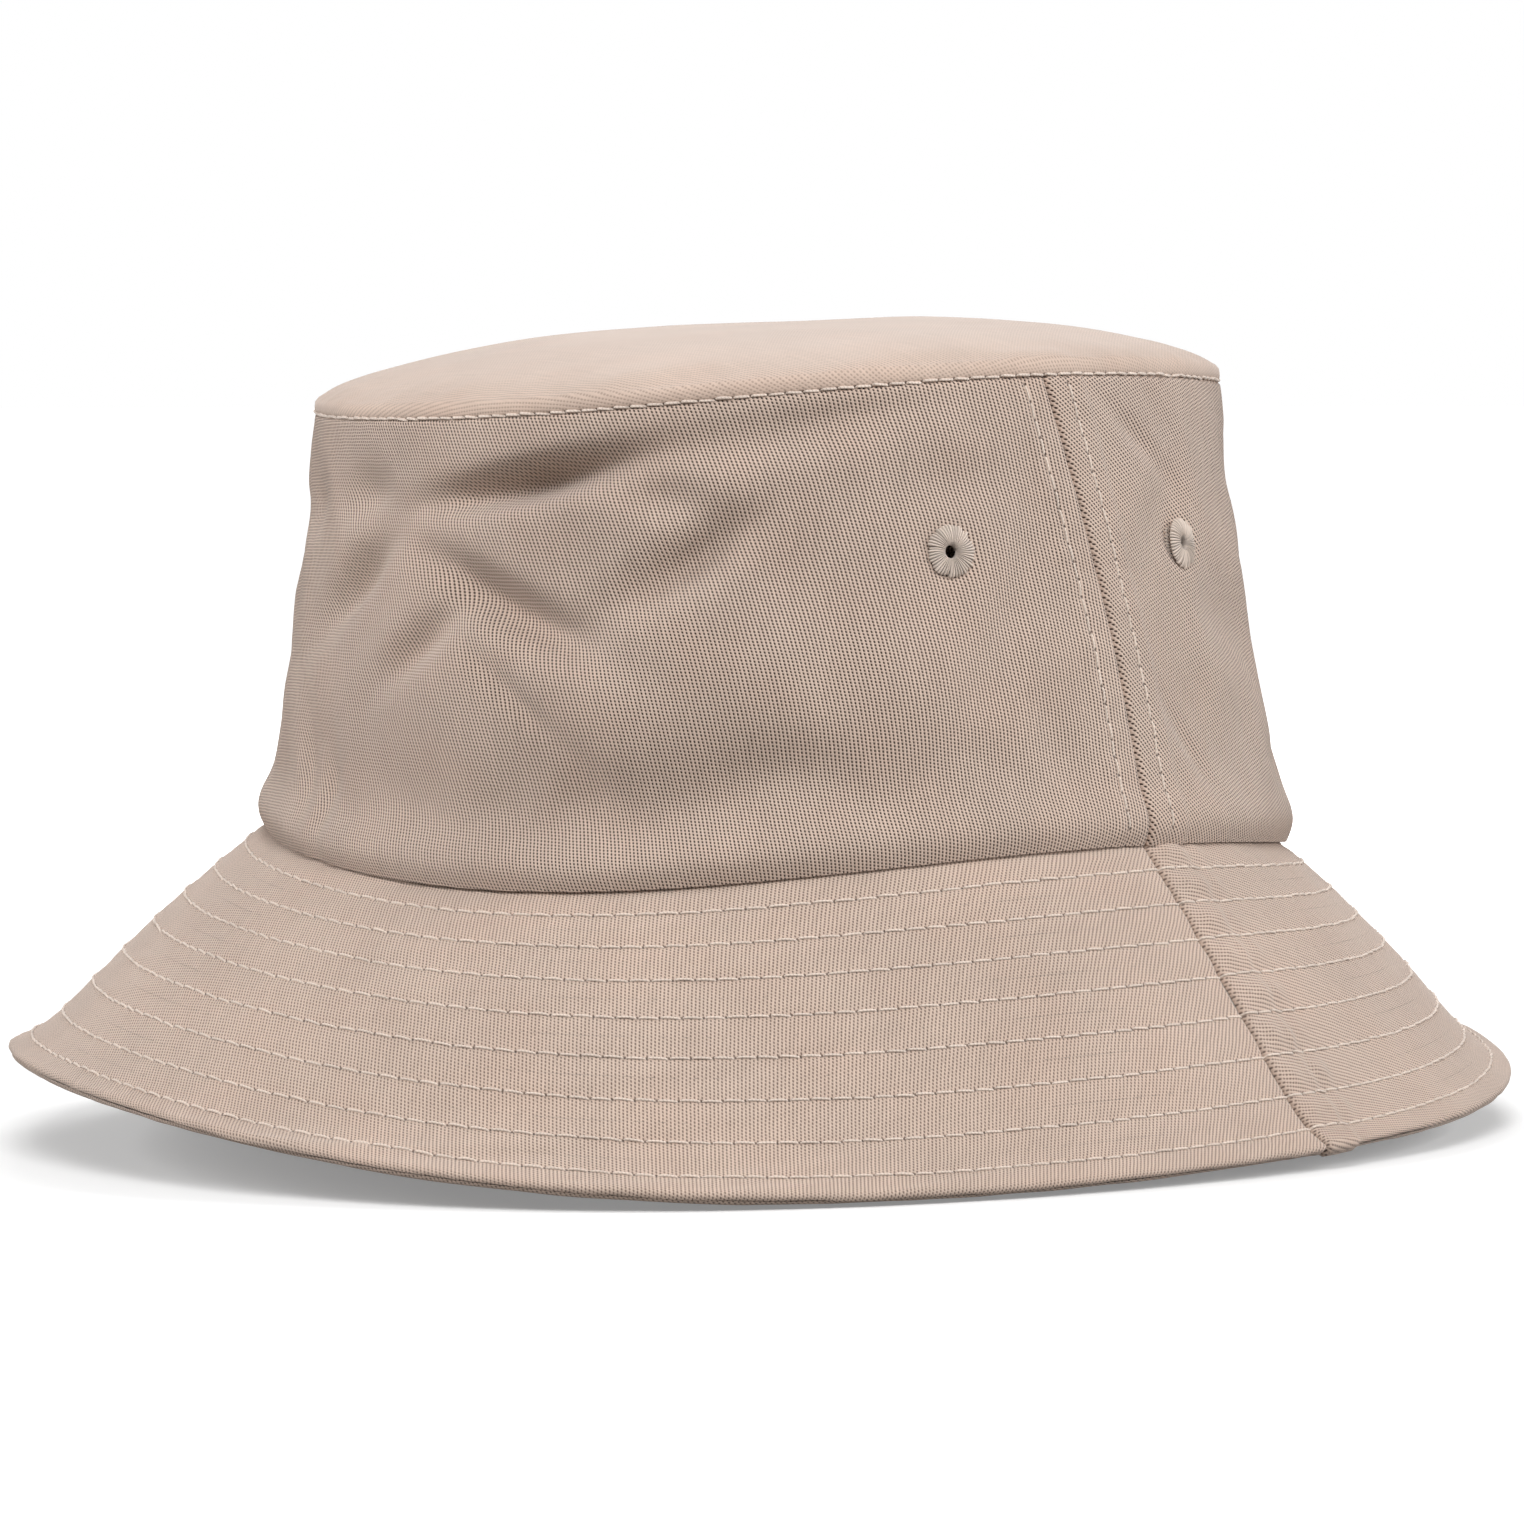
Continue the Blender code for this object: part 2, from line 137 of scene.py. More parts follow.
# Stitching: lines of stitches, their pitch and their thread
THREAD = 0.23 * MM
QUILT_ROWS = 8
QUILT_FIRST = 5.5 * MM
QUILT_SPACING = 7.3 * MM
QUILT_PITCH = 3.9 * MM
TIP_STITCH_HEIGHT = 84.9 * MM
TIP_STITCHES = 173
TIP_STITCH_PITCH = TAU * TIP_RADIUS / TIP_STITCHES
SIDE_STITCH_OFFSET = 5.5 * MM
SIDE_STITCH_PITCH = 3.2 * MM
SIDE_STITCH_FOOT = 3.5 * MM
SWEATBAND_HEIGHT = 33 * MM
SWEATBAND_STITCH_HEIGHT = 30 * MM
SWEATBAND_STITCHES = 174
SWEATBAND_STITCH_PITCH = TAU * (BASE_RADIUS - SWEATBAND_DEPTH) / SWEATBAND_STITCHES
SWEATBAND_JOIN = math.radians(98)
STITCH_SAMPLES = 9
STITCH_SIDES = 6
STITCH_SLANT = 0.09 * MM
STITCH_SHIFT = 0.05 * MM
STITCH_LOOSE = 0.04 * MM
STITCH_DIVE = -0.45 * MM
STITCH_PROUD = 0.75

# Labels: width, height and angle round the hat
CARE_LABEL = (26 * MM, 40 * MM, math.radians(52))
SIZE_LABEL = (14 * MM, 16 * MM, math.radians(90))
LABEL = 0.35 * MM
LABEL_FOOT = 2 * MM
LABEL_CURL = 1.3 * MM

# The panels' middles, and the side seams where they meet, as angles round the hat
HALVES = ("front", "back")
PANEL_MIDDLES = {"front": 1.5 * math.pi, "back": 0.5 * math.pi}
SIDE_SEAMS = {"left": 0.0, "right": math.pi}

# Eyelets
EYELET_ANGLE = math.radians(19)
EYELET_HEIGHT = 54.5 * MM
EYELET_THREADS = 46
EYELET_FACE = 4.5 * MM
CLOTH_HOLE = 2.3 * MM

# Relief of the crown's side, before and after it has settled
DENT_STRENGTH = 2.2
WALL_CRUMPLE = 0.38 * MM
WALL_CRUMPLE_SIZE = 17 * MM

# Relief of every seam, line of stitches and eyelet
SEAM_GROOVE = 0.27 * MM
SEAM_GROOVE_WIDTH = 0.35 * MM
ALLOWANCE_EDGE = 2.2 * MM
GROOVE_WIDTH = 0.6 * MM
GROOVE_WIDE = 1.8 * MM
GROOVE_WIDE_SHARE = 0.4
DIMPLE = 0.14 * MM
DIMPLE_WIDTH = 0.42 * MM
EYELET_PULL = 0.3 * MM
EYELET_PULL_WIDTH = 6 * MM
EYELET_RING = 0.25 * MM
EYELET_RING_RADIUS = 4.7 * MM

# Relief of the side panels
SIDE_CRUMPLE = 0.10 * MM
SIDE_GROOVE = 0.14 * MM
SIDE_PUCKER = 0.09 * MM
SIDE_PUCKER_LENGTH = 6.4 * MM
BASE_BULGE = 0.7 * MM
BASE_BULGE_HEIGHT = 5 * MM
HEAD_TUCK = 0.75 * MM

# Relief of the tip
TIP_RIPPLE = 0.06 * MM
TIP_RIPPLES = 74
TIP_EDGE_CRUMPLE = 0.5 * MM
TIP_CRUMPLE = 0.30 * MM
TIP_ALLOWANCE = 0.42 * MM
TIP_GROOVE = 0.2 * MM
TIP_SEAM_RIDGE = 0.35 * MM

# Relief of the brim
QUILT_GROOVE = 0.08 * MM
QUILT_PULL = 0.05 * MM
BRIM_CRUMPLE = 0.16 * MM
BRIM_WAVE = 0.30 * MM
BRIM_ALLOWANCE = 8 * MM
BRIM_JOIN_TUCK = 0.35 * MM

# Weave: distances between neighbouring warp yarns and between neighbouring weft yarns
TWILL_PITCH = (0.18 * MM, 0.59 * MM)
TWILL_REPEAT = 4.0
PLAIN_PITCH = (0.33 * MM, 0.36 * MM)
SIDE_GRAIN_CONE = 0.235
BRIM_GRAIN_CONE = 0.69

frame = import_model()
JOINTS = {joint["name"]: joint for joint in frame["joints"]}
ROOT = JOINTS["brim_front_turnup"]["parent"]
FOLDS = {half: np.array(JOINTS[f"brim_{half}_turnup"]["pos_m"]) for half in HALVES}
OPENING_MIDDLE = np.array(
    (FOLDS["front"][0], (FOLDS["front"][1] + FOLDS["back"][1]) / 2, OPENING_HEIGHT)
)


# ---------------------------------------------------------------- the blocked shape


def mix(a, b, share):
    return a + (b - a) * share


def bell(distance, width):
    """A smooth hump, 1 in the middle."""
    return np.exp(-((distance / width) ** 2))


def ramp(value, low, high):
    """0 below low, 1 above high and smooth between."""
    t = np.clip((value - low) / (high - low), 0, 1)
    return t * t * (3 - 2 * t)


def waves(angle, terms):
    return sum(h * np.cos(lobes * (angle - math.radians(crest))) for lobes, h, crest in terms)


def oval(radius, angle):
    return (radius - OVAL) * np.cos(angle), (radius + OVAL) * np.sin(angle)


def tip_plane(x, y):
    return CROWN_HEIGHT + TIP_SLOPE_X * x + TIP_SLOPE_Y * y


def placed(x, y, z):
    """Points measured from the head opening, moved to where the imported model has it."""
    return OPENING_MIDDLE + np.stack(np.broadcast_arrays(x, y, z), axis=-1)


def side_points(angle, height, inward=0.0):
    """The side band's outer face at angles and heights, moved inward by some depth."""
    share = height / CROWN_HEIGHT
    bulge = np.sin(math.pi * np.clip(share, 0, 1))
    turned = angle + mix(SEAM_ANGLE_BASE, SEAM_ANGLE_TIP, share) + SEAM_BOW * bulge
    curl = BASE_TUCK * np.maximum(0.0, 1 - height / BASE_ROLL) ** 2
    drawn_in = curl + SIDE_HOLLOW * bulge
    x, y = oval(mix(BASE_RADIUS, TIP_RADIUS, share) - drawn_in - inward, turned)
    y = y - share * CROWN_LEAN_FORWARD
    top = tip_plane(x, y) + waves(turned, TIP_WAVES)
    return placed(x, y, mix(waves(turned, BASE_WAVES), top, share))


def tip_points(angle, radius):
    """The tip's upper face at angles and distances from its middle."""
    turned = angle + SEAM_ANGLE_TIP
    x, y = oval(TIP_RADIUS, turned)
    x = x * radius / TIP_RADIUS
    y = y * radius / TIP_RADIUS - CROWN_LEAN_FORWARD
    rise = np.clip((radius - TIP_FLAT_RADIUS) / (TIP_RADIUS - TIP_FLAT_RADIUS), 0, 1)
    dome = TIP_DOME * (1 - rise**2) ** TIP_SHOULDER
    return placed(x, y, tip_plane(x, y) + dome + rise**2 * waves(turned, TIP_WAVES))


def brim_points(angle, out, depth=0.0):
    """The brim's upper face at angles and distances out from the seam, moved down by some depth."""
    share = out / BRIM_WIDTH
    turned = angle + mix(SEAM_ANGLE_BASE, SEAM_ANGLE_RIM, share)
    drop = BRIM_DROP + waves(turned, DROP_WAVES)
    reach = np.sqrt(BRIM_WIDTH**2 - drop**2)
    inside = np.clip(share, 0, 1)
    arch = BRIM_CREST * np.sin(math.pi * inside) - RIM_SAG * np.sin(math.pi * inside**3)
    x, y = oval(SEAM_RADIUS + share * reach - depth * drop / BRIM_WIDTH, turned)
    z = waves(turned, BASE_WAVES) - share * drop + arch - depth * reach / BRIM_WIDTH
    return placed(x, y, z)


def unit(vectors):
    return vectors / np.maximum(np.linalg.norm(vectors, axis=-1, keepdims=True), 1e-12)


def normals_of(surface, a, b, a_step, b_step):
    """Unit normals of a surface function, pointing out of the hat."""
    across = surface(a + a_step, b) - surface(a - a_step, b)
    along = surface(a, b + b_step) - surface(a, b - b_step)
    return unit(np.cross(across, along))


class Skin:
    """A cloth's outer face: a surface function moved along its normals by a relief function."""

    def __init__(self, surface, relief, v_step, facing=1):
        self.surface = surface
        self.relief = relief
        self.v_step = v_step
        self.facing = facing

    def normals(self, a, v):
        a_step = abs(self.v_step) / BASE_RADIUS
        found = normals_of(self.surface, a, v, a_step, self.v_step)
        return self.facing * found

    def at(self, a, v, lift=0.0):
        height = np.asarray(self.relief(a, v) + lift)
        return self.surface(a, v) + self.normals(a, v) * height[..., None]


# ---------------------------------------------------------------- folds, puckers and seams


def soft_noise(x, y, size, seed):
    """Smooth random heights from -1 to 1 over a plane, with bumps of about a given size."""
    cells = 64
    table = np.random.default_rng(seed).uniform(-1, 1, (cells, cells))
    u, v = x / size, y / size
    i, j = np.floor(u).astype(int), np.floor(v).astype(int)
    fu, fv = ramp(u - i, 0, 1), ramp(v - j, 0, 1)
    low = mix(table[i % cells, j % cells], table[(i + 1) % cells, j % cells], fu)
    high = mix(table[i % cells, (j + 1) % cells], table[(i + 1) % cells, (j + 1) % cells], fu)
    return mix(low, high, fv)


def crumple(x, y, size, seed):
    """Soft wrinkles: noise of a size, stretched and bent by larger noise, plus a finer layer."""
    bent = x + 0.8 * size * soft_noise(x, y, 2.3 * size, seed + 1)
    coarse = soft_noise(bent, 0.6 * y + 0.5 * x, size, seed + 2)
    return 0.75 * coarse + 0.25 * soft_noise(x, y, 0.42 * size, seed + 3)


# Dents of the crown's side: (angle in degrees, height, tilt in degrees, half length, half width,
# depth), with lengths in mm. All depths are multiplied by DENT_STRENGTH, and a negative one is a
# bulge.
SIDE_DENTS = (
    (-67, 73, 8, 22, 3.2, 4.6),
    (-51, 69, -20, 9, 4, 1.2),
    (-95, 71, 15, 9, 5, 1.7),
    (-113, 67, 10, 9, 6, 1.1),
    (-49, 57, 26, 15, 4.2, 2.7),
    (-38, 55, 45, 10, 5, 0.6),
    (-72, 50.5, -27, 18, 4.4, 3.4),
    (-99, 54, 36, 17, 4.4, 2.4),
    (-86, 43, 34, 13, 3.8, 1.7),
    (-71, 33, -44, 15, 2.3, 0.8),
    (-33, 78, 7, 22, 4, 0.9),
    (-60, 14, 0, 68, 9, 1.3),
    (-62, 36, 0, 68, 12, -0.8),
    (-64, 18, -35, 10, 5, 0.7),
    (-45, 19, 5, 14, 6, 0.6),
    (-15, 67, 3, 14, 5, 0.6),
    (-12, 46, 60, 12, 4, 0.4),
    (-103, 14, 84, 10, 3, 0.7),
    (-109, 16, 96, 10, 3, 0.6),
    (14, 73, -38, 11, 2.6, 0.5),
    (10, 18, -55, 9, 2.2, 0.45),
    (17, 60, 35, 14, 6, 0.8),
    (30, 40, -20, 16, 8, 1.0),
    (62, 70, 5, 24, 6, 2.0),
    (80, 48, 28, 15, 6, 1.6),
    (104, 58, -30, 14, 5, 1.6),
    (121, 70, 8, 15, 5, 1.8),
    (138, 44, 20, 16, 7, 1.6),
    (160, 62, -15, 14, 6, 1.2),
    (122, 17, 3, 34, 9, 0.9),
    (200, 66, 12, 15, 6, 1.4),
    (214, 44, -28, 14, 6, 1.6),
    (230, 60, 24, 12, 6, 1.5),
)


def turn_between(angle, other):
    """Signed difference of two angles, from minus half a turn to half a turn."""
    return (angle - other + math.pi) % TAU - math.pi


def side_dents(a, h):
    total = np.zeros(np.broadcast(a, h).shape)
    for angle, height, tilt, half_length, half_width, depth in SIDE_DENTS:
        x = turn_between(a, math.radians(angle)) * (BASE_RADIUS - OVAL)
        y = h - height * MM
        c, s = math.cos(math.radians(tilt)), math.sin(math.radians(tilt))
        along = (x * c + y * s) / (half_length * MM)
        across = (y * c - x * s) / (half_width * MM)
        total -= DENT_STRENGTH * depth * MM * np.exp(-(along**2) - across**2)
    return total


def to_side_seam(a, radius):
    """Distance along the cloth to the nearer side seam."""
    turn = np.mod(a, math.pi)
    return np.minimum(turn, math.pi - turn) * radius


def seam_relief(distance, allowance, height):
    """Cloth turned in at a seam, then lifted by the seam allowance pressed flat behind it."""
    lifted = height * ramp(distance, 0, 0.9 * MM)
    lifted = lifted * (1 - ramp(distance, allowance, allowance + ALLOWANCE_EDGE))
    return lifted - SEAM_GROOVE * bell(distance, SEAM_GROOVE_WIDTH)


def stitch_groove(distance, depth):
    """A narrow groove under a line of stitches, in a shallow wide one."""
    narrow = -depth * bell(distance, GROOVE_WIDTH)
    return narrow - GROOVE_WIDE_SHARE * depth * bell(distance, GROOVE_WIDE)


def needle_dimples(turns, distance, pitch):
    """Dimples at the needle holes, one at each whole number of stitches along a line."""
    along = (turns - np.round(turns)) * pitch
    return -DIMPLE * np.exp(-((along / DIMPLE_WIDTH) ** 2) - (distance / DIMPLE_WIDTH) ** 2)


def wall_folds(a, h):
    """Folds of the crown's side before its cloth has settled."""
    seam = to_side_seam(a, BASE_RADIUS)
    free = ramp(h, 2 * MM, 14 * MM) * (1 - ramp(h, 74 * MM, 84 * MM))
    folds = side_dents(a, h) * (1 - ramp(h, 80 * MM, 85 * MM))
    folds = folds * mix(0.25, 1.0, ramp(seam, 3 * MM, 16 * MM))
    free = free * ramp(seam, 1 * MM, 14 * MM)
    crumples = crumple(a * BASE_RADIUS, h, WALL_CRUMPLE_SIZE, 29)
    return folds + free * WALL_CRUMPLE * crumples


# Settling: a coarse sheet of the crown's side is simulated as cloth with a little fullness
SETTLE_STEPS = 160
SETTLE_ROWS = 24
SETTLE_FRAMES = 30
SETTLE_FULLNESS = 0.006
SETTLE_BASE_HOLD = 5 * MM
SETTLE_HEAD_HOLD = 6 * MM
SETTLE_SEAM_HOLD = 6 * MM
SETTLE_MOST = 2.5 * MM
SETTLE_SHARE = 0.6
CLOTH_SETTINGS = {
    "quality": 10,
    "mass": 0.05,
    "tension_stiffness": 15,
    "compression_stiffness": 15,
    "shear_stiffness": 5,
    "bending_stiffness": 0.02,
    "shrink_min": -SETTLE_FULLNESS,
}
SETTLE_GRAVITY = 0.5


def held_points(a, h):
    """Where the settling sheet is sewn down: at both its edges and along the side seams."""
    at_edge = (h < SETTLE_BASE_HOLD) | (h > CROWN_HEIGHT - SETTLE_HEAD_HOLD)
    return at_edge | (to_side_seam(a, BASE_RADIUS) < SETTLE_SEAM_HOLD)


def add_settling_sheet(start, held):
    mesh = bpy.data.meshes.new("settling_sheet")
    mesh.from_pydata(start.reshape(-1, 3), [], grid_quads(*held.shape, True).tolist())
    sheet = bpy.data.objects.new("settling_sheet", mesh)
    bpy.context.scene.collection.objects.link(sheet)
    pins = sheet.vertex_groups.new(name="held")
    pins.add(np.flatnonzero(held.ravel()).tolist(), 1.0, "REPLACE")
    cloth = sheet.modifiers.new("settling", "CLOTH")
    for setting, value in CLOTH_SETTINGS.items():
        setattr(cloth.settings, setting, value)
    cloth.settings.vertex_group_mass = "held"
    cloth.settings.effector_weights.gravity = SETTLE_GRAVITY
    cloth.point_cache.frame_start = 1
    cloth.point_cache.frame_end = SETTLE_FRAMES
    return sheet


def settle_wall():
    """How far the simulated cloth moves out along its normals, over angles and heights."""
    angles = np.linspace(0, TAU, SETTLE_STEPS, endpoint=False)
    heights = np.linspace(0, CROWN_HEIGHT, SETTLE_ROWS)
    a, h = np.meshgrid(angles, heights, indexing="ij")
    skin = Skin(side_points, wall_folds, 0.5 * MM)
    start = skin.at(a, h)
    sheet = add_settling_sheet(start, held_points(a, h))
    scene = bpy.context.scene
    for number in range(1, SETTLE_FRAMES + 1):
        scene.frame_set(number)
    evaluated = sheet.evaluated_get(bpy.context.evaluated_depsgraph_get())
    ended = np.empty(start.size, np.float32)
    evaluated.data.vertices.foreach_get("co", ended)
    scene.frame_set(1)
    mesh = sheet.data
    bpy.data.objects.remove(sheet)
    bpy.data.meshes.remove(mesh)
    moved = ((ended.reshape(start.shape) - start) * skin.normals(a, h)).sum(axis=-1)
    return np.clip(moved, -SETTLE_MOST, SETTLE_MOST)


def smooth_sample(table, u, v):
    """A smooth surface through a table that wraps round along its first axis."""
    i, j = np.floor(u).astype(int), np.floor(v).astype(int)
    total = 0.0
    for di, share_u in enumerate(spline_shares(u - i)):
        for dj, share_v in enumerate(spline_shares(v - j)):
            row = (i + di - 1) % table.shape[0]
            column = np.clip(j + dj - 1, 0, table.shape[1] - 1)
            total = total + share_u * share_v * table[row, column]
    return total


def spline_shares(t):
    return (
        (1 - t) ** 3 / 6,
        (3 * t**3 - 6 * t**2 + 4) / 6,
        (-3 * t**3 + 3 * t**2 + 3 * t + 1) / 6,
        t**3 / 6,
    )


def wall_shape(a, h):
    """Folds of the crown's side that all its layers share, as the cloth has settled."""
    if WALL_SETTLED is None:
        return wall_folds(a, h)
    u = np.asarray(a) / TAU * SETTLE_STEPS
    v = np.asarray(h) / CROWN_HEIGHT * (SETTLE_ROWS - 1)
    return wall_folds(a, h) + SETTLE_SHARE * smooth_sample(WALL_SETTLED, u, v)


def eyelet_dimples(a, h):
    """Cloth drawn down round each eyelet by its tight stitches."""
    total = 0.0
    for _, _, angle in eyelet_places():
        away = np.hypot(turn_between(a, angle) * BASE_RADIUS, h - EYELET_HEIGHT)
        total = total - EYELET_PULL * bell(away, EYELET_PULL_WIDTH)
        total = total - EYELET_RING * bell(away - EYELET_RING_RADIUS, 0.7 * MM)
    return total


def side_relief(half):
    """Relief of one side panel: folds, fine crumples, the seams at its ends and its topstitching."""
    allowance, height = (9 * MM, 0.5 * MM) if half == "back" else (7 * MM, 0.22 * MM)
    seed = 11 if half == "back" else 37

    def relief(a, h):
        arc = a * BASE_RADIUS
        seam = to_side_seam(a, BASE_RADIUS)
        total = wall_shape(a, h) + eyelet_dimples(a, h)
        total = total + SIDE_CRUMPLE * crumple(arc, h, 6 * MM, seed + 5)
        total = total + seam_relief(seam, allowance, height)
        total = total + stitch_groove(seam - SIDE_STITCH_OFFSET, SIDE_GROOVE)
        pucker = np.sin(TAU * h / SIDE_PUCKER_LENGTH + 3 * soft_noise(h, arc, 20 * MM, seed + 7))
        total = total + SIDE_PUCKER * pucker * bell(seam - SIDE_STITCH_OFFSET, 3.5 * MM)
        total = total + BASE_BULGE * bell(h - BASE_BULGE_HEIGHT, 3.5 * MM)
        tucked = -HEAD_TUCK * ramp(h, SIDE_HEAD - 2.2 * MM, SIDE_HEAD - 1.0 * MM)
        return total + tucked

    return relief


def tip_relief(a, v):
    """Relief of the tip: nearly smooth in the middle, rippled towards its topstitched edge."""
    x, y = v * np.cos(a), v * np.sin(a)
    edge = ramp(v, TIP_RADIUS - 16 * MM, TIP_RADIUS - 2 * MM)
    edge = edge * (1 - ramp(v, TIP_RADIUS - 1 * MM, TIP_RADIUS + 0.5 * MM))
    ripple = np.sin(a * TIP_RIPPLES + 4 * soft_noise(x, y, 30 * MM, 3) + v / (9 * MM))
    total = TIP_RIPPLE * ripple * edge + TIP_EDGE_CRUMPLE * edge * crumple(x, y, 15 * MM, 41)
    total = total + TIP_CRUMPLE * crumple(x, y, 26 * MM, 47)
    over = v - TIP_RADIUS
    total = total + TIP_ALLOWANCE * ramp(over, -1.2 * MM, 0.3 * MM)
    stitch = over - (CROWN_HEIGHT - TIP_STITCH_HEIGHT)
    turns = a / TAU * TIP_STITCHES
    total = total + stitch_groove(stitch, TIP_GROOVE)
    total = total + needle_dimples(turns, stitch, TIP_STITCH_PITCH)
    seam = to_side_seam(a, TIP_RADIUS)
    ridge = TIP_SEAM_RIDGE * (1 - ramp(seam, 6 * MM, 10 * MM)) * ramp(over, -6 * MM, -1 * MM)
    return total + ridge - 0.5 * MM * ramp(over, TIP_OVERLAP - 0.5 * MM, TIP_OVERLAP)


def quilt_row(out):
    """Number of the nearest quilting row and the signed distance to it."""
    row = np.clip(np.round((out - QUILT_FIRST) / QUILT_SPACING), 0, QUILT_ROWS - 1)
    return row, out - QUILT_FIRST - row * QUILT_SPACING


def quilt_radius(row):
    """Mean radius of the hat's plan at a quilting row."""
    return SEAM_RADIUS + (QUILT_FIRST + row * QUILT_SPACING) * 0.68


def quilt_stitches(row):
    """Stitches round the whole brim in a quilting row: an even number, half for each panel."""
    return 2 * np.round(math.pi * quilt_radius(row) / QUILT_PITCH)


def brim_relief(half, under=False):
    """Relief of a brim panel: pillows between the quilting rows, puckers and the side seams."""
    seed = (53 if half == "back" else 71) + (100 if under else 0)
    ridge, puckering = (0.6 * MM, 0.9 * MM) if half == "back" else (0.1 * MM, 0.15 * MM)

    def relief(a, out):
        arc = a * (SEAM_RADIUS + out)
        row, off = quilt_row(out)
        turns = a / TAU * quilt_stitches(row)
        total = stitch_groove(off, QUILT_GROOVE) + needle_dimples(turns, off, QUILT_PITCH)
        pull = np.cos(TAU * turns) * bell(off, 2.0 * MM)
        total = total - QUILT_PULL * pull
        total = total + BRIM_CRUMPLE * crumple(arc, out * 1.6, 11 * MM, seed)
        total = total + BRIM_WAVE * crumple(arc, out, 34 * MM, seed + 4)
        seam = to_side_seam(a, SEAM_RADIUS + 0.6 * out)
        total = total + seam_relief(seam, BRIM_ALLOWANCE, ridge)
        between = 0.5 - 0.5 * np.cos(TAU * off / QUILT_SPACING)
        zone = ramp(seam, 1 * MM, 4 * MM) * (1 - ramp(seam, 12 * MM, 17 * MM))
        wobble = soft_noise(seam * 2, out, 4.5 * MM, seed + 9)
        pucker = (between * (0.8 + 0.5 * wobble) - 0.05) * zone
        pucker = pucker * (1 - ramp(out, BRIM_WIDTH - 5 * MM, BRIM_WIDTH - 1.5 * MM))
        total = total + puckering * pucker
        total = total - BRIM_JOIN_TUCK * bell(out - 0.5 * MM, 1.3 * MM)
        return total

    return relief


# ---------------------------------------------------------------- surfaces of the cloths


def tip_cloth(a, v):
    """The tip's outer face: the dome, then a short strip that turns down over the side band."""
    over = np.maximum(v - TIP_RADIUS, 0)
    dome = tip_points(a, np.minimum(v, TIP_RADIUS))
    strip = side_points(a, CROWN_HEIGHT - over)
    return np.where((v > TIP_RADIUS)[..., None], strip, dome)


def rolled_brim(a, out, depth, rim, bend):
    """A brim layer whose rim rolls over: bend is 1 to roll down and -1 to roll up."""
    over = np.maximum(out - (rim - RIM_ROLL), 0)
    flat = np.minimum(out, rim - RIM_ROLL)
    turn = over / RIM_ROLL
    depth = depth - bend * RIM_PUFF * ramp(flat, rim - 8 * MM, rim - 1 * MM)
    base = brim_points(a, flat, depth)
    step = 0.5 * MM
    outward = unit(brim_points(a, flat, depth) - brim_points(a, flat - step, depth))
    across = unit(brim_points(a + step / SEAM_RADIUS, flat, depth) - base)
    up = np.cross(outward, across)
    sideways = (RIM_ROLL * np.sin(turn))[..., None]
    sunk = (bend * RIM_ROLL * (1 - np.cos(turn)))[..., None]
    return base + outward * sideways - up * sunk


def upper_brim(a, out):
    return rolled_brim(a, out, 0.0, BRIM_WIDTH - UPPER_SHORT, 1)


def under_brim(a, out):
    return rolled_brim(a, out, UNDER_DEPTH + BRIM_LAYER, BRIM_WIDTH + UNDER_PROUD, -1)


def middle_brim(a, out):
    return brim_points(a, out, INTERLINING_DEPTH)


def lining_surface(depth):
    """The crown's inside at some depth behind the side band's outer face."""

    def surface(a, h):
        return side_points(a, h, depth)

    return surface


# How far the side band has settled: nothing until the simulation has run
WALL_SETTLED = None
SIDE_SKINS = {half: Skin(side_points, side_relief(half), 0.5 * MM) for half in HALVES}
TIP_SKIN = Skin(tip_cloth, tip_relief, -0.5 * MM)
BRIM_SKINS = {}
for brim_half in HALVES:
    BRIM_SKINS["upper", brim_half] = Skin(upper_brim, brim_relief(brim_half), -0.5 * MM)
    under_relief = brim_relief(brim_half, under=True)
    BRIM_SKINS["under", brim_half] = Skin(under_brim, under_relief, -0.5 * MM, facing=-1)


# ---------------------------------------------------------------- meshes


def mesh_object(name, points, faces, fields, material):
    """A smooth mesh object from points, arrays of faces and per-point vector fields."""
    mesh = bpy.data.meshes.new(name)
    corners = np.concatenate([f.ravel() for f in faces])
    sizes = np.concatenate([np.full(len(f), f.shape[1]) for f in faces])
    mesh.vertices.add(len(points))
    mesh.vertices.foreach_set("co", points.astype(np.float32).ravel())
    mesh.loops.add(len(corners))
    mesh.loops.foreach_set("vertex_index", corners.astype(np.int32))
    mesh.polygons.add(len(sizes))
    mesh.polygons.foreach_set("loop_start", (np.cumsum(sizes) - sizes).astype(np.int32))
    for field, values in fields.items():
        attribute = mesh.attributes.new(field, "FLOAT_VECTOR", "POINT")
        attribute.data.foreach_set("vector", values.astype(np.float32).ravel())
    mesh.update(calc_edges=True)
    mesh.shade_smooth()
    mesh.set_sharp_from_angle(angle=SHARP_ANGLE)
    mesh.materials.append(material)
    obj = bpy.data.objects.new(name, mesh)
    bpy.context.scene.collection.objects.link(obj)
    return obj


def grid_quads(rows, columns, wrap):
    index = np.arange(rows * columns).reshape(rows, columns)
    after = np.roll(index, -1, axis=0)
    first, after = (index, after) if wrap else (index[:-1], after[:-1])
    loops = (first[:, :-1], after[:, :-1], after[:, 1:], first[:, 1:])
    return np.stack(loops, axis=-1).reshape(-1, 4)


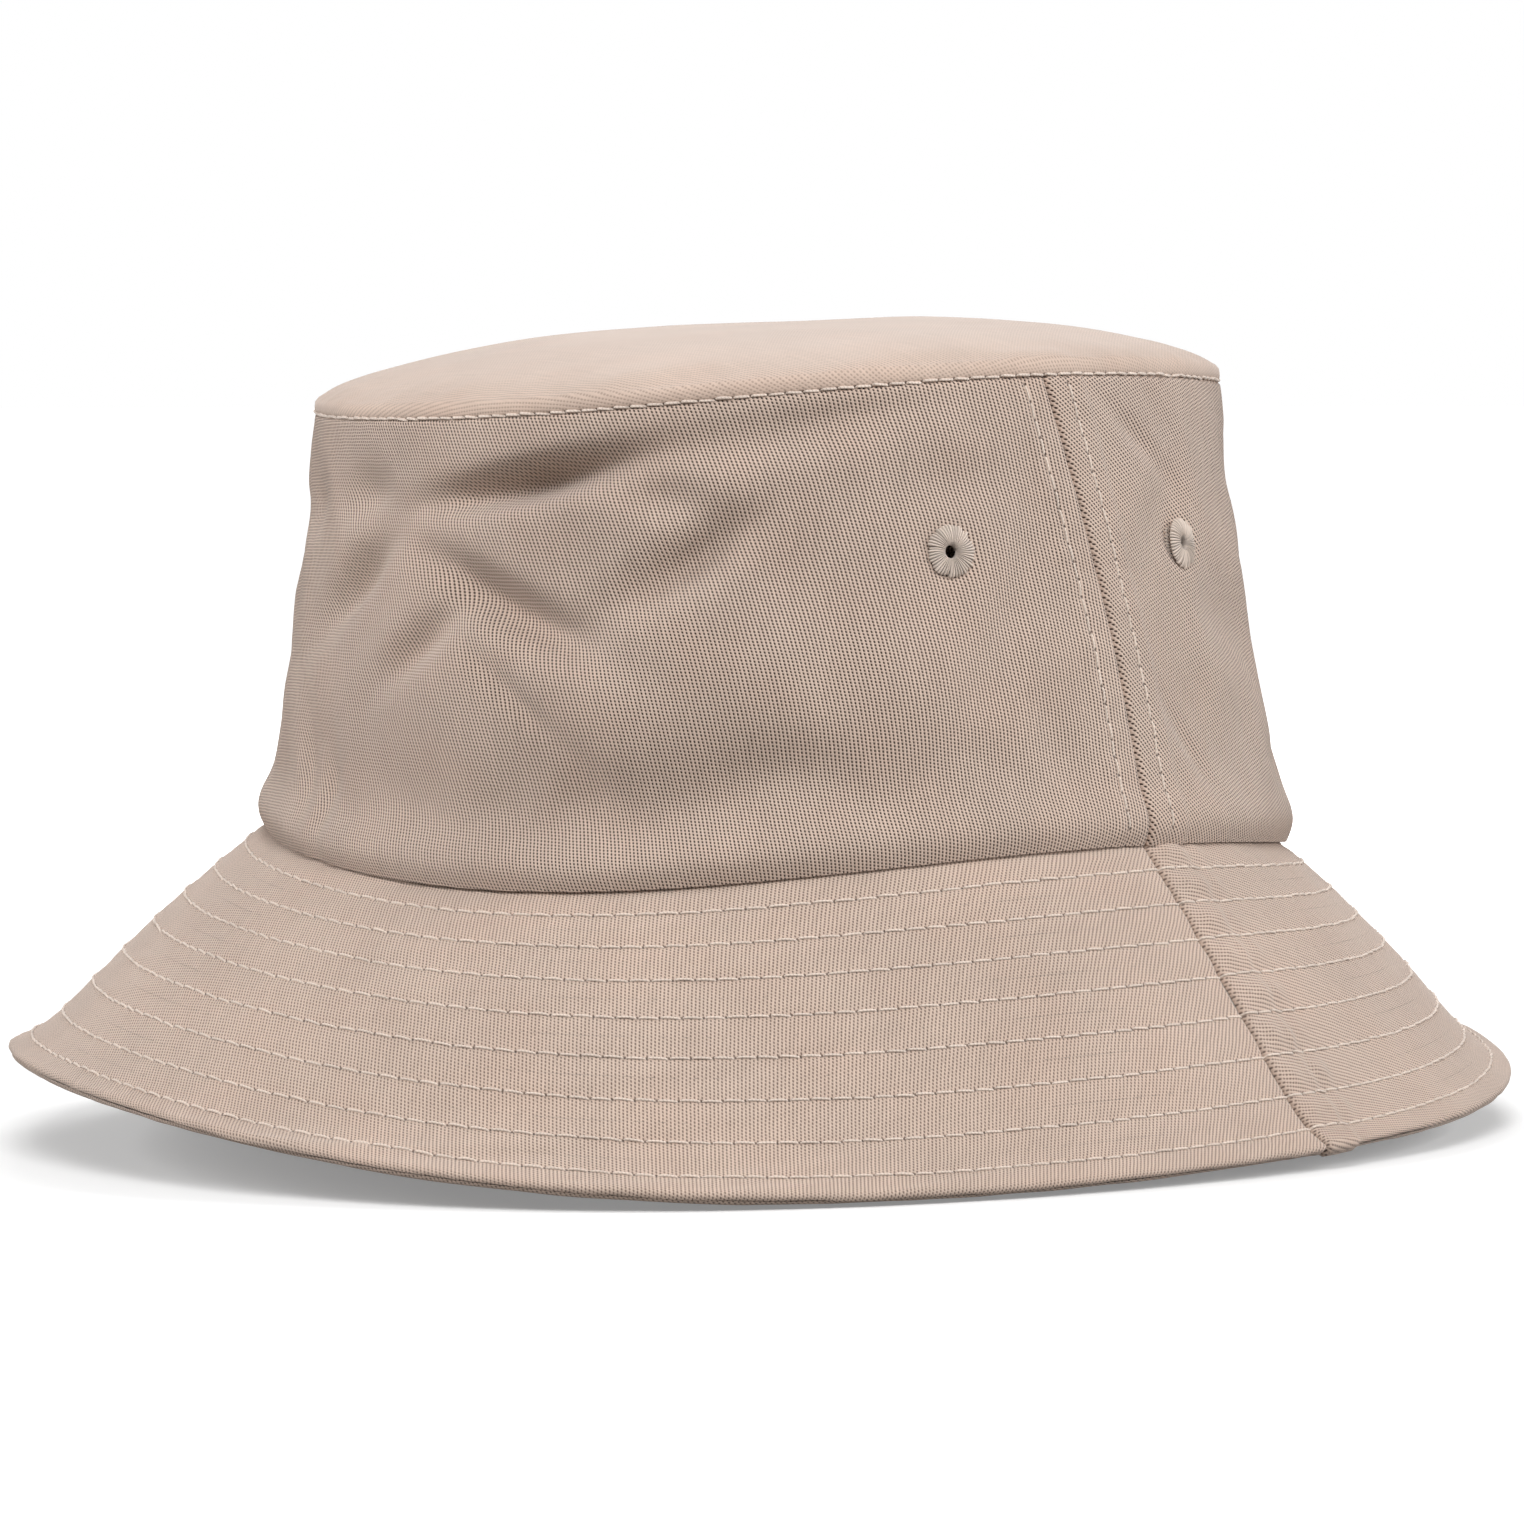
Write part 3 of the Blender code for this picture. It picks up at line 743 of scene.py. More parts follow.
def wall_quads(quads, count):
    """Quads that join the free edges of a grid to those of a copy whose points follow it."""
    ends = np.concatenate([quads[:, [i, (i + 1) % 4]] for i in range(4)])
    forward = ends[:, 0] * count + ends[:, 1]
    backward = ends[:, 1] * count + ends[:, 0]
    free = ends[~np.isin(forward, backward)]
    return np.stack((free[:, 1], free[:, 0], free[:, 0] + count, free[:, 1] + count), axis=-1)


def shell(name, outer, inner, fields, material, wrap=False, keep=None):
    """A closed sheet of cloth between an outer and an inner grid of points."""
    rows, columns = outer.shape[:2]
    quads = grid_quads(rows, columns, wrap)
    if keep is not None:
        quads = quads[keep.ravel()]
    used, renumbered = np.unique(quads, return_inverse=True)
    quads = renumbered.reshape(-1, 4)
    count = len(used)
    points = np.concatenate([outer.reshape(-1, 3)[used], inner.reshape(-1, 3)[used]])
    both = {key: np.tile(value.reshape(-1, 3)[used], (2, 1)) for key, value in fields.items()}
    faces = [quads, quads[:, ::-1] + count, wall_quads(quads, count)]
    return mesh_object(name, points, faces, both, material)


def vector_field(x, y, z=0.0):
    return np.stack(np.broadcast_arrays(x, y, z), axis=-1).astype(float)


def stitch_field(turns, off, pitch):
    """Where a point lies beside a line of stitches: round the nearest needle hole, and off the line."""
    reach = pitch / TAU
    return vector_field(reach * np.sin(TAU * turns), reach * np.cos(TAU * turns), off)


def cone_grain(a, middle, distance, cone, apex):
    """Cloth coordinates on a panel cut as part of a flat ring: across and along the straight grain."""
    turn = cone * (a - middle)
    return (apex + distance) * np.sin(turn), (apex + distance) * np.cos(turn)


def cloth_piece(name, skin, a, v, thickness, material, fields, **options):
    """A cloth piece over a grid of angles and positions on its skin."""
    outer = skin.at(a, v)
    inner = outer - skin.normals(a, v) * thickness
    return shell(name, outer, inner, fields, material, **options)


# ---------------------------------------------------------------- crown panels


def panel_angles(half, steps):
    """Angles from one side seam to the other, stopping just short of both."""
    start = math.pi if half == "front" else 0.0
    return np.linspace(start + SEAM_GAP, start + math.pi - SEAM_GAP, steps)


def side_stitches(a, h):
    """Stitch coordinates of the topstitching beside the side seams."""
    off = to_side_seam(a, BASE_RADIUS) - SIDE_STITCH_OFFSET
    return stitch_field(h / SIDE_STITCH_PITCH, off, SIDE_STITCH_PITCH)


def seam_sides():
    """Both sides of both side seams: (side, half, the seam's angle, which way the panel lies)."""
    for side, seam in SIDE_SEAMS.items():
        for half in HALVES:
            yield side, half, seam, -1 if (half == "front") == (side == "left") else 1


def eyelet_places():
    """The four eyelets: (side, half, angle round the hat)."""
    for side, half, seam, sign in seam_sides():
        yield side, half, (seam + sign * EYELET_ANGLE) % TAU


def add_side_panel(half, material):
    angles = panel_angles(half, SIDE_STEPS)
    heights = np.linspace(0.1 * MM, SIDE_HEAD, SIDE_ROWS)
    a, h = np.meshgrid(angles, heights, indexing="ij")
    apex = BASE_RADIUS / SIDE_GRAIN_CONE
    across, along = cone_grain(a, PANEL_MIDDLES[half], -h, SIDE_GRAIN_CONE, apex)
    fields = {"grain": vector_field(across, -along), "stitch": side_stitches(a, h)}
    keep = np.ones((SIDE_STEPS - 1, SIDE_ROWS - 1), bool)
    for _, eyelet_half, angle in eyelet_places():
        if eyelet_half == half:
            x = turn_between(0.5 * (a[:-1, :-1] + a[1:, 1:]), angle) * BASE_RADIUS
            y = 0.5 * (h[:-1, :-1] + h[1:, 1:]) - EYELET_HEIGHT
            keep &= np.hypot(x, y) > CLOTH_HOLE
    skin = SIDE_SKINS[half]
    name = f"crown_side_{half}_cloth"
    piece = cloth_piece(name, skin, a, h, TWILL, material, fields, keep=keep)
    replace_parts(piece, f"crown_side_{half}")
    return piece


def disc_grid(size, count):
    """Angles and distances of a square grid of points wrapped onto a disc, with no crowded middle."""
    line = np.linspace(-1, 1, count)
    u, v = np.meshgrid(line, line, indexing="ij")
    wide = np.abs(u) >= np.abs(v)
    reach = np.where(wide, np.abs(u), np.abs(v))
    small = 1e-12
    turn_wide = math.pi / 4 * v / np.where(np.abs(u) < small, small, u)
    turn_tall = math.pi / 2 - math.pi / 4 * u / np.where(np.abs(v) < small, small, v)
    angle = np.where(wide, turn_wide, turn_tall)
    flipped = np.where(wide, u < 0, v < 0)
    return angle + np.where(flipped, math.pi, 0), reach * size


def add_tip(material):
    a, v = disc_grid(TIP_RADIUS + TIP_OVERLAP, TIP_GRID)
    x, y = v * np.cos(a + SEAM_ANGLE_TIP), v * np.sin(a + SEAM_ANGLE_TIP)
    stitch = v - TIP_RADIUS - (CROWN_HEIGHT - TIP_STITCH_HEIGHT)
    field = stitch_field(a / TAU * TIP_STITCHES, stitch, TIP_STITCH_PITCH)
    fields = {"grain": vector_field(-y, x), "stitch": field}
    piece = cloth_piece("crown_tip_cloth", TIP_SKIN, a, v, TWILL, material, fields)
    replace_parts(piece, "crown_tip")
    return piece


# ---------------------------------------------------------------- brim


def brim_fields(a, out, half, facing):
    apex = SEAM_RADIUS / BRIM_GRAIN_CONE
    across, along = cone_grain(a, PANEL_MIDDLES[half], out, BRIM_GRAIN_CONE, apex)
    row, off = quilt_row(out)
    turns = a / TAU * quilt_stitches(row)
    grain = vector_field(facing * across, -along)
    return {"grain": grain, "stitch": stitch_field(turns, off, QUILT_PITCH)}


def add_brim_layer(half, layer, material):
    under = layer == "under"
    rim = BRIM_WIDTH + (UNDER_PROUD if under else -UPPER_SHORT)
    last = rim - RIM_ROLL + RIM_ROLL * RIM_TURN
    outs = np.linspace(last, BRIM_FOOT, BRIM_ROWS)
    a, out = np.meshgrid(panel_angles(half, BRIM_STEPS), outs, indexing="ij")
    fields = brim_fields(a, out, half, -1 if under else 1)
    name = f"brim_{layer}_{half}_cloth"
    skin = BRIM_SKINS[layer, half]
    if under:
        a, out = a[::-1], out[::-1]
        fields = {key: value[::-1] for key, value in fields.items()}
    piece = cloth_piece(name, skin, a, out, BRIM_LAYER, material, fields)
    node = f"brim_{layer}_{half}"
    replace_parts(piece, node, node + "_turnup")
    return piece


def add_interlining(half, material):
    outs = np.linspace(BRIM_WIDTH - 2 * MM, 1 * MM, 40)
    a, out = np.meshgrid(panel_angles(half, 200), outs, indexing="ij")
    skin = Skin(middle_brim, lambda a, v: np.zeros_like(a), -0.5 * MM)
    fields = {"grain": vector_field(a * SEAM_RADIUS, out)}
    name = f"brim_interlining_{half}_sheet"
    piece = cloth_piece(name, skin, a, out, INTERLINING, material, fields)
    nodes = [f"brim_interlining_{half}_turnup"]
    if half == "front":
        nodes.append("brim_interlining")
    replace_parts(piece, *nodes)
    return piece


# ---------------------------------------------------------------- linings


def add_lining(node, part, depth, thickness, a_values, h_values, material, relief, wrap=False):
    """A layer inside the crown, seen from within, that follows the folds of the side band."""

    def inward_relief(a, h):
        return relief(a, h) - wall_shape(a, h)

    skin = Skin(lining_surface(depth + thickness), inward_relief, 0.5 * MM, facing=-1)
    a, h = np.meshgrid(a_values[::-1], h_values, indexing="ij")
    fields = {"grain": vector_field(-a * BASE_RADIUS, h)}
    name = f"{node}_{part}"
    piece = cloth_piece(name, skin, a, h, thickness, material, fields, wrap=wrap)
    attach(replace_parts(piece, node), ROOT)
    return skin


def from_join(a):
    """Distance round the band from the join at the back of the sweatband."""
    return np.mod(a - SWEATBAND_JOIN, TAU) * BASE_RADIUS


def sweatband_relief(a, h):
    arc = from_join(a)
    hem = h - SWEATBAND_STITCH_HEIGHT
    turns = a / TAU * SWEATBAND_STITCHES
    total = stitch_groove(hem, 0.2 * MM) + needle_dimples(turns, hem, SWEATBAND_STITCH_PITCH)
    gathers = np.sin(arc / (1.7 * MM) + 5 * soft_noise(arc, h, 14 * MM, 5))
    total = total + 0.06 * MM * gathers * bell(hem, 3 * MM)
    total = total + 0.12 * MM * crumple(arc, 0.4 * h, 12 * MM, 61)
    join = turn_between(a, SWEATBAND_JOIN) * BASE_RADIUS
    total = total - 0.4 * MM * bell(join, 0.5 * MM)
    return total - 0.35 * MM * ramp(h, SWEATBAND_HEIGHT - 0.8 * MM, SWEATBAND_HEIGHT)


def side_tape_relief(a, h):
    off = to_side_seam(a, BASE_RADIUS)
    total = stitch_groove(off - SIDE_STITCH_OFFSET, 0.1 * MM)
    total = total - 0.2 * MM * ramp(off, 5.2 * MM, 5.6 * MM)
    return total + 0.1 * MM * crumple(off * 3, h, 8 * MM, 67)


def tip_tape_relief(a, h):
    total = stitch_groove(h - 83.2 * MM, 0.15 * MM) + stitch_groove(h - 74 * MM, 0.15 * MM)
    return total + 0.16 * MM * crumple(from_join(a), h, 9 * MM, 73)


def add_linings(tape, band):
    """The seam tapes and the sweatband, whose skin carries its stitches."""
    half_width = SIDE_TAPE_WIDTH / 2 / BASE_RADIUS
    heights = np.linspace(6 * MM, 79 * MM, 110)
    for side, seam in SIDE_SEAMS.items():
        angles = np.linspace(seam - half_width, seam + half_width, 24)
        node = f"side_seam_tape_{side}"
        add_lining(
            node, "strip", SIDE_TAPE_DEPTH, TAPE, angles, heights, tape, side_tape_relief
        )
    ring = np.linspace(0, TAU, LINING_STEPS, endpoint=False)
    heights = np.linspace(73 * MM, 84 * MM, 18)
    add_lining(
        "tip_seam_tape", "ring", TIP_TAPE_DEPTH, TAPE, ring, heights, tape, tip_tape_relief, True
    )
    ring = np.linspace(0, TAU, 2 * LINING_STEPS, endpoint=False)
    heights = np.linspace(0.3 * MM, SWEATBAND_HEIGHT, 50)
    return add_lining(
        "sweatband", "cloth", SWEATBAND_DEPTH, SWEATBAND, ring, heights, band, sweatband_relief, True
    )


# ---------------------------------------------------------------- stitches


class Threads:
    """Collects arched threads, one for each stitch, into one mesh."""

    def __init__(self, seed):
        self.random = np.random.default_rng(seed)
        self.points, self.fields, self.quads, self.caps = [], [], [], []
        self.count = 0

    def add(self, skin, path, first_turns, radius=THREAD):
        """A stitch from each first turn to the next, along a path on a skin."""
        stitches = len(first_turns)
        t = np.linspace(0, 1, STITCH_SAMPLES)
        slant = STITCH_SLANT * (1 + 0.6 * self.random.standard_normal(stitches))
        shift = STITCH_SHIFT * self.random.standard_normal(stitches)
        loose = STITCH_LOOSE * self.random.standard_normal(stitches)
        sideways = slant[:, None] * (2 * t - 1) + shift[:, None]
        a, v = path(first_turns[:, None] + mix(0.02, 0.98, t), sideways)
        arch = ramp(t, 0, 0.16) * (1 - ramp(t, 0.84, 1))
        lift = mix(STITCH_DIVE, STITCH_PROUD * radius + loose[:, None], arch)
        middle = skin.at(a, v, lift)
        forward = unit(np.gradient(middle, axis=1))
        beside = unit(np.cross(forward, skin.normals(a, v)))
        above = np.cross(beside, forward)
        turn = np.linspace(0, TAU, STITCH_SIDES, endpoint=False)[:, None]
        ring = beside[:, :, None] * np.cos(turn) + above[:, :, None] * np.sin(turn)
        points = middle[:, :, None] + radius * ring
        length = np.linalg.norm(middle[:, -1] - middle[:, 0], axis=-1)
        along = (length[:, None] * t)[:, :, None]
        tone = self.random.random(stitches)[:, None, None]
        field = vector_field(along, turn[:, 0] / TAU, tone)
        self.collect(points, np.broadcast_to(field, points.shape), stitches)

    def collect(self, points, field, stitches):
        index = np.arange(points[..., 0].size).reshape(points.shape[:3]) + self.count
        nxt = np.roll(index, -1, axis=2)
        sides = (index[:, :-1], nxt[:, :-1], nxt[:, 1:], index[:, 1:])
        self.quads.append(np.stack(sides, axis=-1).reshape(-1, 4))
        self.caps.append(index[:, 0, ::-1])
        self.caps.append(index[:, -1])
        self.points.append(points.reshape(-1, 3))
        self.fields.append(field.reshape(-1, 3))
        self.count += points[..., 0].size

    def piece(self, name, material):
        faces = [np.concatenate(self.quads), np.concatenate(self.caps)]
        fields = {"thread": np.concatenate(self.fields)}
        return mesh_object(name, np.concatenate(self.points), faces, fields, material)


def quilting_path(row):
    def path(turns, sideways):
        out = QUILT_FIRST + row * QUILT_SPACING + sideways
        return turns / quilt_stitches(row) * TAU, np.broadcast_to(out, turns.shape)

    return path


def add_quilting(material):
    """The rows of quilting, each in a front and a back half: needle thread above, bobbin below."""
    for row in range(QUILT_ROWS):
        each = int(quilt_stitches(row) // 2)
        for half, first in (("front", each), ("back", 0)):
            threads = Threads(200 + row)
            turns = first + np.arange(each, dtype=float)
            for layer in ("upper", "under"):
                threads.add(BRIM_SKINS[layer, half], quilting_path(row), turns)
            piece = threads.piece(f"brim_quilting_row_{row + 1}_{half}", material)
            bend_with_brim(piece)


def add_tip_topstitch(material):
    threads = Threads(301)

    def path(turns, sideways):
        down = TIP_RADIUS + (CROWN_HEIGHT - TIP_STITCH_HEIGHT) + sideways
        return turns / TIP_STITCHES * TAU, np.broadcast_to(down, turns.shape)

    threads.add(TIP_SKIN, path, np.arange(TIP_STITCHES, dtype=float), THREAD * 1.15)
    piece = threads.piece("tip_topstitch_thread", material)
    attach(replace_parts(piece, "tip_topstitch"), ROOT)


def add_side_topstitch(material):
    count = int((CROWN_HEIGHT - 2 * SIDE_STITCH_FOOT) // SIDE_STITCH_PITCH)
    for side, half, seam, sign in seam_sides():
        start = TAU if (side, half) == ("left", "front") else seam

        def path(turns, sideways):
            angle = start + (sign * SIDE_STITCH_OFFSET + sideways) / BASE_RADIUS
            return np.broadcast_to(angle, turns.shape), turns * SIDE_STITCH_PITCH

        threads = Threads(401)
        threads.add(SIDE_SKINS[half], path, 1.0 + np.arange(count), THREAD * 0.9)
        node = f"side_topstitch_{side}_{half}"
        piece = threads.piece(node + "_thread", material)
        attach(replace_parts(piece, node), ROOT)


def add_sweatband_topstitch(skin, material):
    threads = Threads(501)

    def path(turns, sideways):
        height = SWEATBAND_STITCH_HEIGHT + sideways
        return turns / SWEATBAND_STITCHES * TAU, np.broadcast_to(height, turns.shape)

    threads.add(skin, path, np.arange(SWEATBAND_STITCHES, dtype=float))
    piece = threads.piece("sweatband_topstitch_thread", material)
    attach(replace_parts(piece, "sweatband_topstitch"), ROOT)


def bend_with_brim(piece):
    """Bakes the piece's placement into its points."""
    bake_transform(piece)


# ---------------------------------------------------------------- eyelets

# Section of a worked eyelet, as (distance from its middle, height over the middle of the cloth)
EYELET_SECTION = (
    (1.15, 0.10),
    (1.18, 0.50),
    (1.45, 0.86),
    (2.05, 1.06),
    (2.80, 1.08),
    (3.50, 0.97),
    (4.10, 0.74),
    (4.45, 0.46),
    (4.55, 0.20),
    (4.20, 0.08),
    (3.00, 0.05),
    (1.95, 0.00),
    (1.95, -0.30),
    (3.00, -0.45),
    (4.00, -0.50),
    (4.20, -0.70),
    (3.60, -0.95),
    (2.60, -1.08),
    (1.70, -1.00),
    (1.20, -0.60),
)
EYELET_SMOOTHING = 2
EYELET_STEPS_PER_THREAD = 8


def eyelet_section():
    """The eyelet's section as a smooth closed line: distances from its middle, and heights."""
    line = np.array(EYELET_SECTION) * MM
    for _ in range(EYELET_SMOOTHING):
        after = np.roll(line, -1, axis=0)
        corners = (0.75 * line + 0.25 * after, 0.25 * line + 0.75 * after)
        line = np.stack(corners, axis=1).reshape(-1, 2)
    return line[:, 0], line[:, 1]


def eyelet_points(seed):
    """Points of an eyelet round its own Z axis: a ring of satin stitches over the cloth's edge."""
    random = np.random.default_rng(seed)
    radius, height = eyelet_section()
    steps = EYELET_THREADS * EYELET_STEPS_PER_THREAD
    angle = np.linspace(0, TAU, steps, endpoint=False)[:, None]
    number = (np.arange(steps) // EYELET_STEPS_PER_THREAD)[:, None]
    tone = random.random(EYELET_THREADS)[number]
    reach = random.standard_normal(EYELET_THREADS)[number]
    phase = angle / TAU * EYELET_THREADS
    bead = np.abs(np.sin(math.pi * phase)) ** 0.6
    outer = ramp(radius, 2.5 * MM, 4.4 * MM)
    lift = np.where(height > 0, 1, -1) * (0.26 * bead - 0.12 + 0.05 * reach) * MM
    r = radius + outer * (0.15 * reach + 0.30 * bead - 0.15) * MM
    z = height + lift * ramp(radius, 1.2 * MM, 1.7 * MM)
    turned = angle + 0.10 * (radius / EYELET_FACE)
    points = np.stack(np.broadcast_arrays(r * np.cos(turned), r * np.sin(turned), z), axis=-1)
    field = vector_field(radius, np.mod(phase, 1), tone)
    return points, field


def torus_quads(rows, columns):
    index = np.arange(rows * columns).reshape(rows, columns)
    after = np.roll(index, -1, axis=0)
    loops = (index, after, np.roll(after, -1, axis=1), np.roll(index, -1, axis=1))
    return np.stack(loops, axis=-1).reshape(-1, 4)


def add_eyelets(material):
    for number, (side, half, angle) in enumerate(eyelet_places()):
        points, field = eyelet_points(600 + number)
        a, h = np.array([angle]), np.array([EYELET_HEIGHT])
        skin = SIDE_SKINS[half]
        middle = skin.at(a, h, -TWILL / 2)[0]
        normal = skin.normals(a, h)[0]
        upward = unit(skin.at(a, h + 1 * MM) - skin.at(a, h))[0]
        across = unit(np.cross(upward, normal))
        upward = np.cross(normal, across)
        placed_points = middle + points @ np.stack((across, upward, normal))
        quads = torus_quads(*points.shape[:2])[:, ::-1]
        name = f"eyelet_{side}_{half}_embroidery"
        fields = {"thread": field.reshape(-1, 3)}
        piece = mesh_object(name, placed_points.reshape(-1, 3), [quads], fields, material)
        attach(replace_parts(piece, f"eyelet_{side}_{half}"), ROOT)


# ---------------------------------------------------------------- labels


def add_label(name, size, material):
    """A blank satin label sewn down along its lower edge, curling off the sweatband at the top."""
    width, height, angle = size
    joint = JOINTS[name.replace("label", "label_flip")]
    foot, along = np.array(joint["pos_m"]), np.array(joint["axis"])
    h = np.array([LABEL_FOOT, LABEL_FOOT + height])
    wall = side_points(np.full(2, angle), h)
    up = unit(wall[1] - wall[0])
    inward = np.cross(up, along)
    inward = inward * np.sign(inward @ (OPENING_MIDDLE - foot))
    across, rise = np.meshgrid(
        np.linspace(-width / 2, width / 2, 41), np.linspace(0, height, 61), indexing="ij"
    )
    share = rise / height
    off = across**2 / (2 * BASE_RADIUS) - 0.9 * MM + LABEL_CURL * share**2
    off = off + 0.25 * MM * np.sin(3 * share + 90 * across) * share
    outer = foot + across[..., None] * along + rise[..., None] * up + off[..., None] * inward
    inner = outer - LABEL * inward
    if np.cross(along, up) @ inward < 0:
        outer, inner, across, rise = outer[::-1], inner[::-1], across[::-1], rise[::-1]
    fields = {"grain": vector_field(across, rise)}
    piece = shell(name + "_satin", outer, inner, fields, material)
    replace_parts(piece, name)
    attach(piece, joint["child"])
    return piece


# ---------------------------------------------------------------- materials

TWILL_LIGHT = (0.585, 0.455, 0.377)
# Painted shade for the low spots of the twill weave: its dots and valleys
TWILL_VALLEY_SHADE = (0.04, 0.022, 0.016)
# Painted shade inside the needle holes
NEEDLE_HOLE_SHADE = (0.10, 0.07, 0.055)
TINT_COLOR = (1.0, 0.93, 0.90)
THREAD_COLOR = (0.72, 0.61, 0.53)
SATIN_COLOR = (0.80, 0.79, 0.77)
TAPE_COLOR = (0.42, 0.32, 0.265)
LINING_COLOR = (0.50, 0.40, 0.335)
INTERLINING_COLOR = (0.75, 0.72, 0.68)


class Shader:
    """A material's node tree, with short ways to add the nodes used here."""

    def __init__(self, name, slot=""):
        self.material = bpy.data.materials.new(name)
        self.material["slot"] = slot
        self.material.use_nodes = True
        self.tree = self.material.node_tree
        self.surface = self.tree.nodes["Principled BSDF"]

    def node(self, kind, inputs=(), **settings):
        made = self.tree.nodes.new(kind)
        for key, value in settings.items():
            setattr(made, key, value)
        for key, value in dict(inputs).items():
            self.plug(made.inputs[key], value)
        return made

    def plug(self, socket, value):
        if isinstance(value, bpy.types.NodeSocket):
            self.tree.links.new(value, socket)
        else:
            socket.default_value = value

    def math(self, operation, *values):
        inputs = dict(enumerate(values))
        return self.node("ShaderNodeMath", inputs, operation=operation).outputs[0]

    def plus(self, a, b):
        return self.math("ADD", a, b)

    def minus(self, a, b):
        return self.math("SUBTRACT", a, b)

    def times(self, a, b):
        return self.math("MULTIPLY", a, b)

    def field(self, name):
        """The three numbers of a mesh attribute."""
        read = self.node("ShaderNodeAttribute", attribute_name=name)
        split = self.node("ShaderNodeSeparateXYZ", {0: read.outputs["Vector"]})
        return split.outputs[0], split.outputs[1], split.outputs[2]

    def vector(self, x, y, z=0.0):
        return self.node("ShaderNodeCombineXYZ", {0: x, 1: y, 2: z}).outputs[0]

    def noise(self, vector, scale, detail=2.0):
        inputs = {"Vector": vector, "Scale": scale, "Detail": detail}
        return self.node("ShaderNodeTexNoise", inputs).outputs["Fac"]

    def random(self, vector):
        inputs = {"Vector": vector}
        return self.node("ShaderNodeTexWhiteNoise", inputs, noise_dimensions="3D").outputs["Value"]

    def between(self, value, low, high, start=0.0, end=1.0):
        """Start below low, end above high and smooth between."""
        inputs = {"Value": value, "From Min": low, "From Max": high, "To Min": start, "To Max": end}
        made = self.node("ShaderNodeMapRange", inputs, interpolation_type="SMOOTHSTEP")
        return made.outputs["Result"]

    def mix_color(self, share, a, b, blend="MIX"):
        made = self.node("ShaderNodeMix", data_type="RGBA", blend_type=blend)
        self.plug(made.inputs["Factor"], share)
        self.plug(made.inputs[6], a if isinstance(a, bpy.types.NodeSocket) else (*a, 1))
        self.plug(made.inputs[7], b if isinstance(b, bpy.types.NodeSocket) else (*b, 1))
        return made.outputs[2]

    def scaled(self, color, brightness):
        gray = self.vector(brightness, brightness, brightness)
        return self.mix_color(1.0, color, gray, "MULTIPLY")

    def finish(self, color, height, depth, roughness=0.85, sheen=0.25):
        """Plugs in a colour and a relief: height from 0 to 1 over a depth in metres."""
        bump = self.node("ShaderNodeBump", {"Strength": 1.0, "Distance": depth, "Height": height})
        self.plug(self.surface.inputs["Base Color"], color)
        self.plug(self.surface.inputs["Normal"], bump.outputs[0])
        self.plug(self.surface.inputs["Roughness"], roughness)
        self.plug(self.surface.inputs["Sheen Weight"], sheen)
        self.plug(self.surface.inputs["Sheen Roughness"], 0.5)
        self.plug(self.surface.inputs["Specular IOR Level"], 0.2)
        return self.material


def yarn_grid(shader, pitch, sway):
    """Yarn numbers across and along the grain, and where in its cell a point lies."""
    x, y, _ = shader.field("grain")
    place = shader.vector(x, y)
    u = shader.math("DIVIDE", x, pitch[0])
    v = shader.math("DIVIDE", y, pitch[1])
    swing = shader.minus(shader.noise(place, 260.0), 0.5)
    u = shader.plus(u, shader.times(swing, sway))
    swing = shader.minus(shader.noise(shader.vector(y, x, 0.3), 310.0), 0.5)
    v = shader.plus(v, shader.times(swing, sway))
    numbers = shader.math("FLOOR", u), shader.math("FLOOR", v)
    inside = shader.math("FRACT", u), shader.math("FRACT", v)
    return place, numbers, inside


def rounded(shader, share):
    """Height over a round yarn at a share of its width: 0 at its edges and 1 on top."""
    return shader.math("SINE", shader.times(share, math.pi))


def needle_hole(shader):
    """1 in a needle hole of the nearest line of stitches, and 0 away from it."""
    x, y, off = shader.field("stitch")
    reach = shader.math("SQRT", shader.plus(shader.times(x, x), shader.times(y, y)))
    short = shader.minus(reach, y)
    squares = [shader.times(part, part) for part in (x, short, off)]
    total = shader.plus(shader.plus(squares[0], squares[1]), squares[2])
    return shader.between(shader.math("SQRT", total), 0.10 * MM, 0.36 * MM, 1.0, 0.0)


def mottled(shader, color, place, number):
    """The colour with soft cloudy variation, a pinker tint in places and yarns that differ."""
    cloud = shader.noise(place, 38.0, 4.0)
    fleck = shader.random(number)
    cloudy = shader.between(cloud, 0.25, 0.75, 0.95, 1.04)
    gain = shader.plus(cloudy, shader.times(fleck, 0.10))
    color = shader.scaled(color, shader.minus(gain, 0.04))
    tint = shader.between(shader.noise(place, 61.0), 0.35, 0.75, 0.0, 0.35)
    return shader.mix_color(tint, color, TINT_COLOR, "MULTIPLY")


